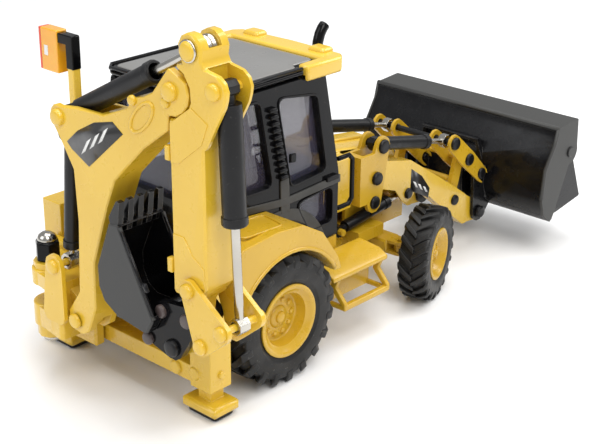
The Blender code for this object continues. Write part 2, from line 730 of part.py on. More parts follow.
def kingpost_group():
    king = (DIG_X, KING_Y)
    back = box("side_shift_carriage", (-21.7, -19.4), (5.4, 18.6), (5.4, 23.6))
    ease(back, 0.4)
    lugs = [
        plate("carriage_lug", "z", span, wrapped([(king, 2.7), ((-21.0, 8.8), 0.6), ((-21.0, 15.2), 0.6)]))
        for span in ((8.0, 10.2), (21.2, 22.4))
    ]
    union(back, *lugs)
    cut(back, disc("king_bore", "z", king, 1.2, (7, 24), 8))
    finish(back, YELLOW)
    pin = disc("kingpost_pin", "z", king, 1.0, (7.6, 27.0), 8)
    nut = disc("kingpost_nut", "z", king, 2.3, (22.6, 26.2), 6)
    dome = disc("kingpost_dome", "z", king, 1.5, (26.0, 27.7), 8, tip=0.8)
    foot = disc("kingpost_foot", "z", king, 1.8, (7.0, 7.8), 8)
    union(pin, nut, dome, foot)
    finish(pin, DARK)

    casting = plate(
        "swing_casting",
        "z",
        (10.5, 14.3),
        wrapped([(king, 3.0), ((DIG_X - 3.1, 4.8), 1.0), ((DIG_X + 3.1, 4.8), 1.0)]),
    )
    upper = plate(
        "casting_top",
        "z",
        (18.4, 21.0),
        wrapped([(king, 2.9), ((DIG_X - 3.1, 5.4), 1.0), ((DIG_X + 3.1, 5.4), 1.0)]),
    )
    web = box("casting_web", dig_span(3.4), (4.6, 7.4), (11.0, 20.4))
    shape = wrapped([(FOOT, 2.0), ((6.0, 12.2), 1.4), ((6.0, 18.8), 1.4)])
    tongue = plate("casting_tongue", "x", dig_span(1.3), shape)
    pin_foot = disc("boom_foot_pin", "x", FOOT, 0.9, dig_span(3.4), 8)
    lugs = []
    for side in (-1, 1):
        span = (DIG_X + side * 3.2, DIG_X + side * 4.1)
        outline = wrapped([(LUG, 2.2), ((4.6, 15.0), 1.6), ((7.2, 15.0), 1.6)])
        lugs.append(plate("cylinder_lug", "x", span, outline))
        lugs.append(box("lug_root", (DIG_X + side * 2.6, DIG_X + side * 3.9), (5.1, 7.2), (11.4, 20.2)))
    lug_pin = disc("cylinder_lug_pin", "x", LUG, 0.65, dig_span(4.5), 8)
    union(casting, upper, web, tongue, pin_foot, lug_pin, *lugs)
    cut(casting, disc("casting_bore", "z", king, 1.2, (9, 23), 8))
    finish(casting, YELLOW, (DIG_X, KING_Y, 12.4))


def boom():
    tip_arc = circle(TIP, 3.9, 5, 150.0, 130.0)
    outline = [(2.9, 13.4), (3.0, 16.6), (-0.2, 21.1), (-1.1, 34.3), (-0.7, 43.4), (2.6, 48.4)]
    outline += circle(ELBOW, 2.2, 5, -20.0, 130.0)
    outline += [(-1.9, 54.3), (-9.1, 54.6), (-14.8, 57.0), (-16.7, 59.2), (-18.6, 59.6), (-20.9, 60.9)]
    outline += [(-24.6, 65.4)] + tip_arc
    outline += [(-24.2, 55.6), (-18.3, 51.2), (-11.1, 44.1), (-8.8, 38.9), (-7.9, 36.4), (-4.7, 27.6)]
    outline += [(-4.4, 19.1), (-2.2, 14.0), (-0.6, 12.9)]
    beam = plate("boom", "x", dig_span(3.0), outline)
    ease(beam, 0.35, 50.0)
    foot_slot = plate("foot_slot", "x", dig_span(1.5), circle(FOOT, 4.2, 16))
    foot_bore = disc("foot_bore", "x", FOOT, 1.1, dig_span(4), 8)
    elbow_slot = plate(
        "elbow_slot",
        "x",
        dig_span(2.15),
        [(9.0, 46.4), (9.0, 60.0), (-11.0, 60.0), (-11.0, 56.4), (0.2, 49.4), (-0.8, 46.4)],
    )
    tip_slot = plate(
        "tip_slot",
        "x",
        dig_span(1.75),
        circle(TIP, 4.4, 12),
    )
    cut(beam, foot_slot, foot_bore, elbow_slot, tip_slot)
    pins = [disc("elbow_pin", "x", ELBOW, 0.75, dig_span(3.5), 8)]
    pins.append(disc("tip_pin", "x", TIP, 0.75, dig_span(3.5), 8))
    union(beam, *pins)
    finish(beam, YELLOW, pivot_at("x", FOOT, DIG_X))


def stick():
    left = -24.5
    right = -31.9
    outline = [(left, 57.6), (left, 29.4), (-25.6, 28.6)]
    outline += circle(STICK_NOSE, 1.7, 5, 10.0, -180.0)
    outline += [(-29.6, 28.4), (right, 31.6), (right, 54.2), (-32.6, 54.9), (-34.3, 58.2)]
    outline += [(-36.2, 61.6)] + circle(BARREL_PIN, 2.5, 3, 205.0, -95.0)
    outline += [(-32.3, 66.6)] + circle(STICK_EYE, 2.6, 6, 205.0, -190.0)
    outline += [(-27.6, 66.6), (-26.4, 66.3)]
    outline += circle(TIP, 4.25, 5, 105.0, 140.0)
    beam = plate("stick", "x", dig_span(3.0), outline)
    ease(beam, 0.35, 50.0)
    shape = wrapped([(TIP, 2.3), ((-28.0, 64.4), 2.2), ((-27.4, 58.6), 2.2)])
    root = plate("stick_root", "x", dig_span(1.5), shape)
    union(beam, root)
    shape = wrapped([(STICK_EYE, 2.2), ((-22.0, 72.0), 3.4), ((-31.0, 73.4), 2.2)])
    eye_slot = plate("eye_slot", "x", dig_span(1.3), shape)
    behind = [(-31.95, 50.0), (-31.95, 66.2), (-34.0, 69.4), (-40.0, 69.4), (-40.0, 50.0)]
    barrel_slot = plate("barrel_slot", "x", dig_span(2.15), behind)
    nose_cut = [
        box("nose_cut", (DIG_X + side * 1.3, DIG_X + side * 4.0), (-33.0, -23.0), (20.0, 29.2))
        for side in (-1, 1)
    ]
    tip_bore = disc("tip_bore", "x", TIP, 0.95, dig_span(4), 8)
    nose_bore = disc("nose_bore", "x", STICK_NOSE, 0.85, dig_span(4), 8)
    cut(beam, eye_slot, barrel_slot, *nose_cut, tip_bore, nose_bore)
    pins = [
        disc("stick_eye_pin", "x", STICK_EYE, 0.65, dig_span(3.5), 8),
        disc("barrel_pin", "x", BARREL_PIN, 0.75, dig_span(3.5), 8),
        disc("idler_pin", "x", IDLER_PIN, 0.75, dig_span(4.6), 8),
    ]
    union(beam, *pins)
    finish(beam, YELLOW, pivot_at("x", TIP, DIG_X))


def bucket_linkage():
    plates = []
    shape = [(IDLER_PIN, 1.9), (IDLER_ROD, 1.7), (IDLER_LINK, 1.7)]
    for side in (-1, 1):
        span = (DIG_X + side * 3.2, DIG_X + side * 4.1)
        plates.append(plate("idler_link", "x", span, wrapped(shape), [(IDLER_PIN, 0.95)]))
    idler = plates[0]
    ends = (IDLER_ROD, IDLER_LINK)
    pins = [disc("idler_cross_pin", "x", point, 0.65, dig_span(4.5), 8) for point in ends]
    union(idler, plates[1], *pins)
    finish(idler, YELLOW, pivot_at("x", IDLER_PIN, DIG_X))
    link = plate(
        "power_link",
        "x",
        dig_span(1.1),
        wrapped([(IDLER_LINK, 1.5), (COUPLER_LINK, 1.8)]),
        [(IDLER_LINK, 0.85), (COUPLER_LINK, 1.25)],
    )
    finish(link, YELLOW, pivot_at("x", IDLER_LINK, DIG_X))
    cheeks = []
    for side in (-1, 1):
        span = (DIG_X + side * COUPLER_IN, DIG_X + side * COUPLER_OUT)
        cheeks.append(plate("coupler", "x", span, wrapped(COUPLER)))
    coupler = cheeks[0]
    cross = [disc("coupler_nose_pin", "x", STICK_NOSE, 0.65, dig_span(3.3), 8)]
    cross.append(disc("coupler_link_pin", "x", COUPLER_LINK, 0.65, dig_span(3.3), 8))
    union(coupler, cheeks[1], *cross)
    hooks = (HOOK_HIGH, HOOK_LOW)
    bores = [disc("hook_bore", "x", point, 0.75, dig_span(4), 10) for point in hooks]
    cut(coupler, *bores)
    finish(coupler, BLACK, pivot_at("x", STICK_NOSE, DIG_X))


def backhoe_bucket():
    wall = 0.8
    mouth_top = (-13.6, 37.9)
    mouth_low = (-21.4, 23.4)
    outline = [mouth_top, mouth_low, (-19.8, 20.6), (-11.9, 21.6), (-9.4, 23.0)]
    outline += [(-8.1, 25.6), (-8.0, 29.2), (-11.4, 37.6)]
    shell = plate("backhoe_bucket", "x", dig_span(5.0), outline)
    ease(shell, 0.3, 50.0)
    inside = shrunk(outline, wall)
    # The hollow runs out through the mouth, between the lip and the lower edge.
    hollow = [(-14.9, 37.9), (-22.0, 24.9)] + [(-19.6, 22.6)] + inside[3:7] + [(-12.5, 37.0)]
    room = plate("bucket_room", "x", (DIG_X - 5.0 + wall, DIG_X + 5.0 - wall), hollow)
    slots = []
    for side in (-1, 1):
        span = (DIG_X + side * (COUPLER_IN - GAP), DIG_X + side * (COUPLER_OUT + GAP))
        slots.append(plate("coupler_slot", "x", span, wrapped(grown(COUPLER, GAP))))
    cut(shell, room, *slots)
    teeth = []
    for i in range(5):
        x = DIG_X - 4.2 + 2.1 * i
        teeth.append(
            plate(
                "tooth",
                "x",
                (x - 0.55, x + 0.55),
                [(-12.0, 35.6), (-11.4, 38.6), (-13.4, 41.8), (-14.1, 41.6), (-13.7, 38.4), (-13.2, 36.2)],
            )
        )
    shape = wrapped([(HOOK_HIGH, 1.4), (HOOK_LOW, 1.4), ((-18.6, 21.4), 0.8)])
    ears = plate("bucket_ear", "x", dig_span(1.2), shape)
    hooks = (HOOK_HIGH, HOOK_LOW)
    pins = [disc("hook_pin", "x", point, 0.6, dig_span(3.3), 10) for point in hooks]
    union(shell, ears, *teeth, *pins)
    finish(shell, DARK, pivot_at("x", STICK_NOSE, DIG_X))


# ------------------------------------------------------------------ loader


def loader_arms():
    outline = [(36.6, 23.6), (39.3, 22.9), (45.8, 20.6), (48.2, 17.6), (50.0, 16.9), (51.9, 18.0)]
    outline += [(53.4, 19.4), (66.0, 9.0), (70.0, 5.9), (75.1, 5.4)]
    outline += circle(HINGE, 2.2, 4, -70.0, 150.0)
    outline += [(71.2, 12.4), (66.4, 15.8), (50.8, 25.9), (41.2, 28.2), (37.4, 28.1), (35.9, 26.0)]
    arms = []
    for side in (-1, 1):
        arms.append(plate("loader_arms", "y", sided(side, ARM_IN, ARM_OUT), outline))
    arm = arms[0]
    tie = disc("arm_tie", "y", (60.0, 17.4), 1.7, (-6.8, 6.8), 10)
    union(arm, arms[1], tie)
    tools = []
    pins = []
    link_room = wrapped([(ARM_LINK, 2.1), ((66.0, 20.0), 2.6), ((72.0, 18.0), 2.6)])
    lug_room = wrapped([(LIFT_LUG, 1.9), ((44.0, 15.0), 2.2), ((43.0, 20.9), 1.7)])
    carrier_room = wrapped([(HINGE, 4.4), ((82.0, 10.0), 4.0), ((77.0, 20.0), 6.0)])
    for side in (-1, 1):
        tools.append(disc("arm_bore", "y", ARM_PIVOT, 1.1, sided(side, 5, 11), 8))
        tools.append(plate("link_slot", "y", sided(side, 7.0, 8.4), link_room))
        tools.append(plate("lug_slot", "y", sided(side, 6.85, 8.55), lug_room))
        tools.append(disc("hinge_bore", "y", HINGE, 0.95, sided(side, 5, 11), 8))
        for span in ((8.7, 9.6), (5.6, 6.6)):
            tools.append(plate("end_relief", "y", sided(side, *span), carrier_room))
        pins.append(disc("lug_pin", "y", LIFT_LUG, 0.65, sided(side, 6.2, 9.3), 8))
        pins.append(disc("link_pin", "y", ARM_LINK, 0.65, sided(side, 6.2, 9.3), 8))
    cut(arm, *tools)
    union(arm, *pins)
    finish(arm, YELLOW, pivot_at("y", ARM_PIVOT, 0.0))


def tilt_linkage():
    middle = (LEVER_MID[0] * 0.5 + ARM_LINK[0] * 0.5 - 0.4, 16.6)
    links = []
    holes = [(LEVER_MID, 0.85), (ARM_LINK, 0.85)]
    for side in (-1, 1):
        shape = wrapped([(LEVER_MID, 1.4), (ARM_LINK, 1.4)])
        links.append(plate("tilt_links", "y", sided(side, 7.2, 8.2), shape, holes))
    bar = disc("links_tie", "y", middle, 0.8, (-7.6, 7.6), 10)
    union(links[0], links[1], bar)
    finish(links[0], YELLOW, pivot_at("y", ARM_LINK, 0.0))
    end = toward(LEVER_MID, LEVER_END, 1.1 + math.dist(LEVER_MID, LEVER_END))
    shape = wrapped([(LEVER_TOP, 1.9), (LEVER_MID, 2.1), (end, 1.7)])
    plates = []
    notches = []
    past = toward(LEVER_MID, LEVER_END, 12.0)
    for side in (-1, 1):
        for span in ((4.9, 5.5), (9.9, 10.5)):
            plates.append(plate("tilt_levers", "y", sided(side, *span), shape, [(LEVER_TOP, 0.9)]))
    notches.append(plate("lever_notch", "y", (-12, 12), wrapped([(LEVER_END, 1.15), (past, 1.3)])))
    shaft = disc("lever_shaft", "y", LEVER_MID, 0.65, (-10.9, 10.9), 8)
    union(plates[0], shaft, *plates[1:])
    cut(plates[0], *notches)
    finish(plates[0], YELLOW, pivot_at("y", LEVER_MID, 0.0))
    top = disc("lever_cross_pin", "y", LEVER_TOP, 0.7, (-10.9, 10.9), 8)
    finish(top, DARK, pivot_at("y", LEVER_TOP, 0.0))
    for side, tag in ((1, "l"), (-1, "r")):
        pin = disc("tower_pin_" + tag, "y", TOWER_TILT, 0.8, sided(side, 5.15, 10.4), 8)
        finish(pin, DARK, pivot_at("y", TOWER_TILT, side * ARM_MID))


def loader_bucket():
    half = BUCKET_HALF
    back = [
        (80.9, 29.1),
        (80.0, 25.4),
        (77.0, 20.6),
        (76.2, 14.0),
        (77.6, 9.9),
        (80.1, 7.9),
        (81.0, 8.8),
        (79.0, 10.6),
        (77.6, 14.2),
        (78.3, 20.0),
        (81.3, 25.0),
        (82.0, 28.0),
        (88.3, 28.6),
        (88.3, 29.6),
    ]
    shell = plate("loader_bucket", "y", (-half, half), back)
    pieces = []
    seam = [(80.7, 8.2), (81.6, 9.8), (86.0, 19.6)] + circle(CLAM, 3.0, 6, -90.0, 110.0)
    end = [(80.9, 29.1), (80.0, 25.4), (77.0, 20.6), (76.2, 14.0), (77.6, 9.9)] + seam + [(88.5, 29.5)]
    for side in (-1, 1):
        pieces.append(plate("bucket_end", "y", sided(side, half - 0.9, half), end, [(CLAM, 1.2)]))
        for span in ((5.75, 6.45), (8.95, 9.65)):
            shape = wrapped([(HINGE, 2.2), (LEVER_END, 1.4), ((79.2, 15.6), 1.6), ((78.4, 9.8), 1.2)])
            pieces.append(plate("carrier_cheek", "y", sided(side, *span), shape))
        pieces.append(disc("hinge_pin", "y", HINGE, 0.75, sided(side, 5.3, 10.1), 8))
        pieces.append(disc("tilt_pin", "y", LEVER_END, 0.65, sided(side, 4.6, 10.8), 8))
    # A bent bar stands on the carrier and joins its two sides in front of the bucket's back.
    route = [(77.8, -8.4, 16.8), (76.6, -7.2, 23.4), (76.6, 7.2, 23.4), (77.8, 8.4, 16.8)]
    pieces.append(tube("carrier_bar", route, 0.8))
    pieces.append(box("carrier_beam", (76.6, 78.6), (-9.4, 9.4), (12.4, 15.4)))
    union(shell, *pieces)
    finish(shell, BLACK, pivot_at("y", HINGE, 0.0))

    reach = half - 1.1
    floor = [
        (82.0, 8.6),
        (84.2, 8.7),
        (93.3, 10.0),
        (93.5, 10.6),
        (84.0, 9.9),
        (82.4, 10.2),
    ]
    clam = plate("bucket_clam", "y", (-reach, reach), floor)
    plates = []
    cheek = [(82.1, 8.9), (93.3, 10.2), (93.2, 10.9), (89.2, 20.6), (88.6, 24.6)]
    cheek += circle(CLAM, 2.6, 4, 30.0, 120.0)
    cheek += [(83.6, 21.4), (82.0, 12.0)]
    for side in (-1, 1):
        plates.append(plate("clam_cheek", "y", sided(side, half - 2.0, reach), cheek))
        plates.append(disc("clam_pin", "y", CLAM, 1.0, sided(side, half - 1.6, half + 0.4), 8))
    union(clam, *plates)
    finish(clam, BLACK, pivot_at("y", CLAM, 0.0))


def build():
    main_frame()
    front_running_gear()
    wheels()
    cab()
    roof()
    bodywork()
    rear_end()
    kingpost_group()
    boom()
    stick()
    bucket_linkage()
    backhoe_bucket()
    cylinders = [
        ("boom_cylinder", (ELBOW, LUG), (1.35, 1.12, 0.5), (1.5, 2.4, 0.95), 25.0, 10.0, 1.25),
        ("stick_cylinder", (ELBOW, STICK_EYE), (1.75, 1.35, 0.75), (1.6, 2.0, 0.95), 24.0, 12.0, 0.0),
        ("bucket_cylinder", (BARREL_PIN, IDLER_ROD), (1.9, 1.5, 0.75), (1.4, 2.2, 0.95), 21.2, 9.6, 0.0),
    ]
    for tag, *sizes in cylinders:
        cylinder_pair(tag, "x", DIG_X, *sizes)
    loader_arms()
    tilt_linkage()
    loader_bucket()
    for side, tag in ((1, "l"), (-1, "r")):
        y = side * ARM_MID
        lift, tilt = (LIFT_BASE, LIFT_LUG), (TOWER_TILT, LEVER_TOP)
        cylinder_pair("lift_cylinder_" + tag, "y", y, lift, (1.2, 0.85, 0.6), (1.3, 1.4, 0.85), 15.6, 9.0)
        cylinder_pair("tilt_cylinder_" + tag, "y", y, tilt, (1.4, 1.18, 0.6), (1.5, 1.5, 1.0), 17.6, 8.0)


build()
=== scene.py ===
"""The looks of the toy backhoe loader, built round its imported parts.

Lengths are in millimetres in the machine's own frame: X forward from the rear axle, Y to the
left of the centre plane and Z up from the floor. at() turns them into the frame's metres.
Points across an axis are (Y, Z) for "x", (X, Z) for "y" and (X, Y) for "z".
"""

import json
import math

import bmesh
import bpy
from mathutils import Matrix, Vector


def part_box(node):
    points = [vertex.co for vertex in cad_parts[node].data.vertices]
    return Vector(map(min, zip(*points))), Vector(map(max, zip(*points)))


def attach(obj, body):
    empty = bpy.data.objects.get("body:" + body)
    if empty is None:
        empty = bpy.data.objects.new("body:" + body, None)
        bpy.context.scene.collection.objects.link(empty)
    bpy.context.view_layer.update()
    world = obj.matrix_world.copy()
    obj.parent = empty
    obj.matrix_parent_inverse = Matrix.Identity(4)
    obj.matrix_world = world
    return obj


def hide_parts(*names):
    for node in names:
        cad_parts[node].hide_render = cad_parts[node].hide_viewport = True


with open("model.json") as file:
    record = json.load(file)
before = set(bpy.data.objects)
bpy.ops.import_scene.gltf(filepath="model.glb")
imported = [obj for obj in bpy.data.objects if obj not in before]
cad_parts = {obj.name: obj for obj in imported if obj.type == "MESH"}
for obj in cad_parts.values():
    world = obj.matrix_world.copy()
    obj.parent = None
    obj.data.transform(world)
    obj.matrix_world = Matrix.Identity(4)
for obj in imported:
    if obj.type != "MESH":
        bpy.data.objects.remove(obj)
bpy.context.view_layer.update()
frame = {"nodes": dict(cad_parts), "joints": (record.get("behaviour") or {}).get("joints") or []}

MM = 0.001
JOINTS = {joint["name"]: Vector(joint.get("pos_m", (0, 0, 0))) for joint in frame["joints"]}
LEFT_HUB = JOINTS["rear_wheel_l_roll"]
RIGHT_HUB = JOINTS["rear_wheel_r_roll"]
ORIGIN = Vector((LEFT_HUB.x, (LEFT_HUB.y + RIGHT_HUB.y) / 2, 0.0))
SIDES = ((1, "l"), (-1, "r"))


# ------------------------------------------------------------- positions


def at(x, y, z):
    """A point of the machine's frame in the row frame, in metres."""
    return ORIGIN + Vector((x, y, z)) * MM


def machine(point):
    """A point of the row frame in the machine's frame, in millimetres."""
    return (point - ORIGIN) / MM


def spot(axis, a, b, along):
    """A point of the machine's frame from two values across an axis and one along it."""
    return {"x": (along, a, b), "y": (a, along, b), "z": (a, b, along)}[axis]


def pivot(joint, axis):
    """A joint's place across an axis, in the machine's frame."""
    x, y, z = machine(JOINTS[joint])
    return {"x": (y, z), "y": (x, z), "z": (x, y)}[axis]


def edges_of(node):
    """A CAD node's lowest and highest corner in the machine's frame."""
    low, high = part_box(node)
    return machine(low), machine(high)


# The digging gear hangs across the machine at DIG_X, and its arms reach DIG_HALF either way.
DIG_X = machine(JOINTS["boom_lower"]).x
DIG_HALF = 3.0
# Pins of the digging bucket that aren't joints, seen along X.
HOOK_HIGH = (-21.3, 24.6)
HOOK_LOW = (-17.9, 18.6)
LINK_FOOT = (-23.6, 18.8)
# The loader arms' outer face, and two pins of the loader that aren't joints, seen along Y.
ARM_FACE = 9.0
TOWER_FOOT = (37.9, 20.6)
TILT_PIN = (73.9, 17.2)
# The front wheels are steered at rest, so their box doesn't give their width.
REAR_LOW, REAR_HIGH = edges_of("rear_tyre_l")
REAR_RADIUS = REAR_HIGH.z / 2
REAR_WIDTH = REAR_HIGH.y - REAR_LOW.y
REAR_RIM = 6.9
FRONT_RADIUS = edges_of("front_tyre_l")[1].z / 2
FRONT_WIDTH = 6.2
FRONT_RIM = 5.4
# The cab's side, and the centre of the round band on its door, seen along Y.
CAB_FACE = edges_of("cab_frame")[1].y
DOOR_ARCH = (7.0, 15.5)


# ------------------------------------------------------------- materials

WORN_EDGE = 0.22
BUMP_DEPTH = 0.06
DUST = (0.55, 0.52, 0.47)


def node_in(tree, kind, **values):
    """Adds a shader node and sets inputs by their names, with _ for each space."""
    node = tree.nodes.new(kind)
    for name, value in values.items():
        node.inputs[name.replace("_", " ")].default_value = value
    return node


def noise(tree, scale, detail, distortion=0.0):
    """Noise in object space. Scale is the number of lumps in a millimetre."""
    place = tree.nodes.new("ShaderNodeTexCoord")
    lumps = node_in(tree, "ShaderNodeTexNoise", Scale=scale / MM, Detail=detail, Distortion=distortion)
    tree.links.new(place.outputs["Object"], lumps.inputs["Vector"])
    return lumps.outputs["Fac"]


def spread(tree, value, low, high, start=0.35, end=0.65):
    """Stretches the middle of a noise over a range."""
    ramp = tree.nodes.new("ShaderNodeMapRange")
    for name, number in (("From Min", start), ("From Max", end), ("To Min", low), ("To Max", high)):
        ramp.inputs[name].default_value = number
    tree.links.new(value, ramp.inputs["Value"])
    return ramp.outputs["Result"]


def blend(tree, amount, first, second):
    """Mixes two colours, either of which may be the output of another mix."""
    mix = tree.nodes.new("ShaderNodeMix")
    mix.data_type = "RGBA"
    tree.links.new(amount, mix.inputs["Factor"])
    for socket, colour in ((mix.inputs["A"], first), (mix.inputs["B"], second)):
        if isinstance(colour, bpy.types.NodeSocket):
            tree.links.new(colour, socket)
        else:
            socket.default_value = (*colour, 1.0)
    return mix.outputs["Result"]


def calculated(tree, operation, first, second):
    """A value worked out from one socket and either another socket or a number."""
    step = tree.nodes.new("ShaderNodeMath")
    step.operation = operation
    tree.links.new(first, step.inputs[0])
    if isinstance(second, bpy.types.NodeSocket):
        tree.links.new(second, step.inputs[1])
    else:
        step.inputs[1].default_value = second
    return step.outputs["Value"]


def edge_mask(tree, strength):
    """Is above nought where a rounded normal would differ from the real one, so along edges."""
    round_off = node_in(tree, "ShaderNodeBevel", Radius=WORN_EDGE * MM)
    round_off.samples = 4
    shape = tree.nodes.new("ShaderNodeNewGeometry")
    match = tree.nodes.new("ShaderNodeVectorMath")
    match.operation = "DOT_PRODUCT"
    tree.links.new(round_off.outputs["Normal"], match.inputs[0])
    tree.links.new(shape.outputs["Normal"], match.inputs[1])
    return spread(tree, match.outputs["Value"], strength, 0.0, 0.80, 0.98)


def surface(name, colour, second, rough, grain=2.0, bump=0.1, worn=None, wear=0.0, dust=0.0, **shader):
    """A material with uneven colour and gloss, fine grain, rubbed edges and specks of dust."""
    material = bpy.data.materials.new(name)
    material.use_nodes = True
    tree = material.node_tree
    body = tree.nodes["Principled BSDF"]
    for key, value in shader.items():
        body.inputs[key.replace("_", " ")].default_value = value
    tint = blend(tree, spread(tree, noise(tree, 0.07, 4.0), 0.0, 1.0), colour, second)
    if wear:
        patches = spread(tree, noise(tree, 0.5, 3.0), 0.0, 1.0)
        tint = blend(tree, calculated(tree, "MULTIPLY", edge_mask(tree, wear), patches), tint, worn)
    if dust:
        specks = spread(tree, noise(tree, 2.4, 2.0, 0.4), 0.0, dust, start=0.69, end=0.74)
        tint = blend(tree, specks, tint, DUST)
    tree.links.new(tint, body.inputs["Base Color"])
    gloss = spread(tree, noise(tree, 0.35, 5.0), rough * 0.8, rough * 1.25)
    tree.links.new(gloss, body.inputs["Roughness"])
    lift = node_in(tree, "ShaderNodeBump", Strength=bump, Distance=BUMP_DEPTH * MM)
    tree.links.new(noise(tree, grain, 3.0), lift.inputs["Height"])
    tree.links.new(lift.outputs["Normal"], body.inputs["Normal"])
    return material


def pale_ends(material, margins, colour, rough):
    """Gives a piece's ends, along some axes of its own box, a paler and duller finish."""
    tree = material.node_tree
    body = tree.nodes["Principled BSDF"]
    place = tree.nodes.new("ShaderNodeTexCoord")
    split = tree.nodes.new("ShaderNodeSeparateXYZ")
    tree.links.new(place.outputs["Generated"], split.inputs["Vector"])
    ends = None
    for axis, margin in margins.items():
        offset = calculated(tree, "SUBTRACT", split.outputs[axis], 0.5)
        reach = calculated(tree, "ABSOLUTE", offset, 0.0)
        mask = spread(tree, reach, 0.0, 1.0, 0.5 - margin, 0.5 - margin / 2)
        ends = calculated(tree, "MAXIMUM", ends, mask) if ends else mask
    for name, finish in (("Base Color", colour), ("Roughness", (rough, rough, rough))):
        socket = body.inputs[name]
        mixed = blend(tree, ends, socket.links[0].from_socket, finish)
        tree.links.new(mixed, socket)
    return material


def bucket_black(name, rough, coat, margins, pale):
    """Black bucket paint with well rubbed edges and paler ends."""
    paint = surface(
        name, *DEEP_BLACK, rough, grain=1.8, bump=0.20, worn=(0.20, 0.19, 0.18), wear=0.9, dust=0.03,
        Specular_IOR_Level=0.20, Coat_Weight=coat, Coat_Roughness=0.08,
    )
    return pale_ends(paint, margins, pale, 0.5)


GOLD = (0.72, 0.462, 0.028)
DEEP_BLACK = ((0.003, 0.003, 0.0035), (0.006, 0.006, 0.007))
LOOKS = {
    "yellow": surface(
        "yellow_enamel", GOLD, (0.67, 0.422, 0.023), rough=0.30, grain=2.2, bump=0.12,
        worn=(0.86, 0.62, 0.12), wear=0.5, Coat_Weight=0.55, Coat_Roughness=0.09,
    ),
    "yellow_plastic": surface(
        "yellow_plastic", (0.77, 0.51, 0.055), (0.71, 0.46, 0.045), rough=0.24, grain=1.4, bump=0.10,
        worn=(0.9, 0.66, 0.16), wear=0.4, Coat_Weight=0.4, Coat_Roughness=0.12,
    ),
    "deep_yellow": surface(
        "deep_yellow_plastic", (0.58, 0.355, 0.018), (0.52, 0.31, 0.014), rough=0.30, grain=1.8, bump=0.12,
        worn=(0.80, 0.57, 0.12), wear=0.4, Coat_Weight=0.25, Coat_Roughness=0.12,
    ),
    "black": surface(
        "glossy_black", *DEEP_BLACK, rough=0.15, grain=1.6, bump=0.08, worn=(0.04, 0.04, 0.044), wear=0.25,
        dust=0.03, Specular_IOR_Level=0.12, Coat_Weight=0.12, Coat_Roughness=0.04,
    ),
    "satin": surface(
        "satin_black", (0.004, 0.004, 0.0045), (0.008, 0.008, 0.009), rough=0.34, grain=2.6, bump=0.20,
        worn=(0.06, 0.06, 0.06), wear=0.4, dust=0.05, Specular_IOR_Level=0.30,
    ),
    "bucket": bucket_black("bucket_black", 0.24, 0.12, {"Y": 0.016, "Z": 0.06}, (0.055, 0.055, 0.053)),
    "digging_bucket": bucket_black("digging_bucket_black", 0.22, 0.15, {"X": 0.03}, (0.048, 0.048, 0.047)),
    "roof": surface(
        "roof_grey", (0.175, 0.172, 0.165), (0.200, 0.197, 0.190), rough=0.34, grain=1.6, bump=0.10,
        worn=(0.26, 0.26, 0.25), wear=0.3, dust=0.03, Coat_Weight=0.4, Coat_Roughness=0.12,
    ),
    "trim": surface(
        "satin_grey", (0.034, 0.034, 0.032), (0.044, 0.043, 0.040), rough=0.45, grain=2.4, bump=0.15,
        worn=(0.12, 0.12, 0.11), wear=0.4, dust=0.04, Specular_IOR_Level=0.35,
    ),
    "rubber": surface(
        "tyre_rubber", (0.006, 0.006, 0.006), (0.012, 0.0115, 0.011), rough=0.46, grain=1.3, bump=0.40,
        worn=(0.06, 0.06, 0.06), wear=0.9, dust=0.12, Specular_IOR_Level=0.34,
    ),
    "steel": surface(
        "bright_steel", (0.56, 0.54, 0.49), (0.44, 0.42, 0.38), rough=0.20, grain=3.0, bump=0.12,
        worn=(0.7, 0.7, 0.68), wear=0.4, Metallic=1.0,
    ),
    "pin": surface(
        "browned_pin", (0.055, 0.040, 0.038), (0.085, 0.064, 0.060), rough=0.38, grain=2.0, bump=0.25,
        worn=(0.22, 0.18, 0.17), wear=0.8,
    ),
    "tint": surface(
        "window_tint", (0.055, 0.065, 0.115), (0.085, 0.075, 0.11), rough=0.06, grain=0.4, bump=0.04,
        Alpha=0.42, Coat_Weight=1.0, Coat_Roughness=0.03,
    ),
    "amber": surface(
        "amber_lens", (0.85, 0.40, 0.015), (0.78, 0.33, 0.010), rough=0.16, grain=1.0, bump=0.10,
        worn=(1.0, 0.6, 0.1), wear=0.3, Coat_Weight=0.7, Coat_Roughness=0.05, Subsurface_Weight=0.15,
        Subsurface_Scale=0.002,
    ),
    "red": surface(
        "red_lens", (0.75, 0.07, 0.015), (0.66, 0.05, 0.012), rough=0.2, grain=1.2, bump=0.1, Coat_Weight=0.6,
    ),
    "white": surface(
        "white_print", (0.78, 0.78, 0.76), (0.70, 0.70, 0.68), rough=0.3, grain=2.0, bump=0.1,
    ),
    "print": surface(
        "dark_print", (0.012, 0.012, 0.013), (0.02, 0.02, 0.02), rough=0.34, grain=2.0, bump=0.15,
        Coat_Weight=0.3,
    ),
    "seat": surface(
        "seat_black", (0.016, 0.016, 0.017), (0.028, 0.027, 0.026), rough=0.55, grain=2.4, bump=0.5,
    ),
}


# ---------------------------------------------------------------- shapes


def turned(bm, profile, steps, place):
    """Adds a turned shape to a mesh. The profile is (radius, height) along local Z, in millimetres."""
    rings = []
    for radius, height in profile:
        count = steps if radius > 0 else 1
        angles = [math.tau * i / steps for i in range(count)]
        ring = [Vector((radius * math.cos(t), radius * math.sin(t), height)) * MM for t in angles]
        rings.append([bm.verts.new(place @ point) for point in ring])
    closing = [rings[0]] if profile[0][0] > 0 and profile[-1][0] > 0 else []
    following = rings[1:] + closing
    for ring, after in zip(rings, following):
        for i in range(steps):
            j = (i + 1) % steps
            corners = [ring[i % len(ring)], ring[j % len(ring)], after[j % len(after)], after[i % len(after)]]
            bm.faces.new(list(dict.fromkeys(corners)))


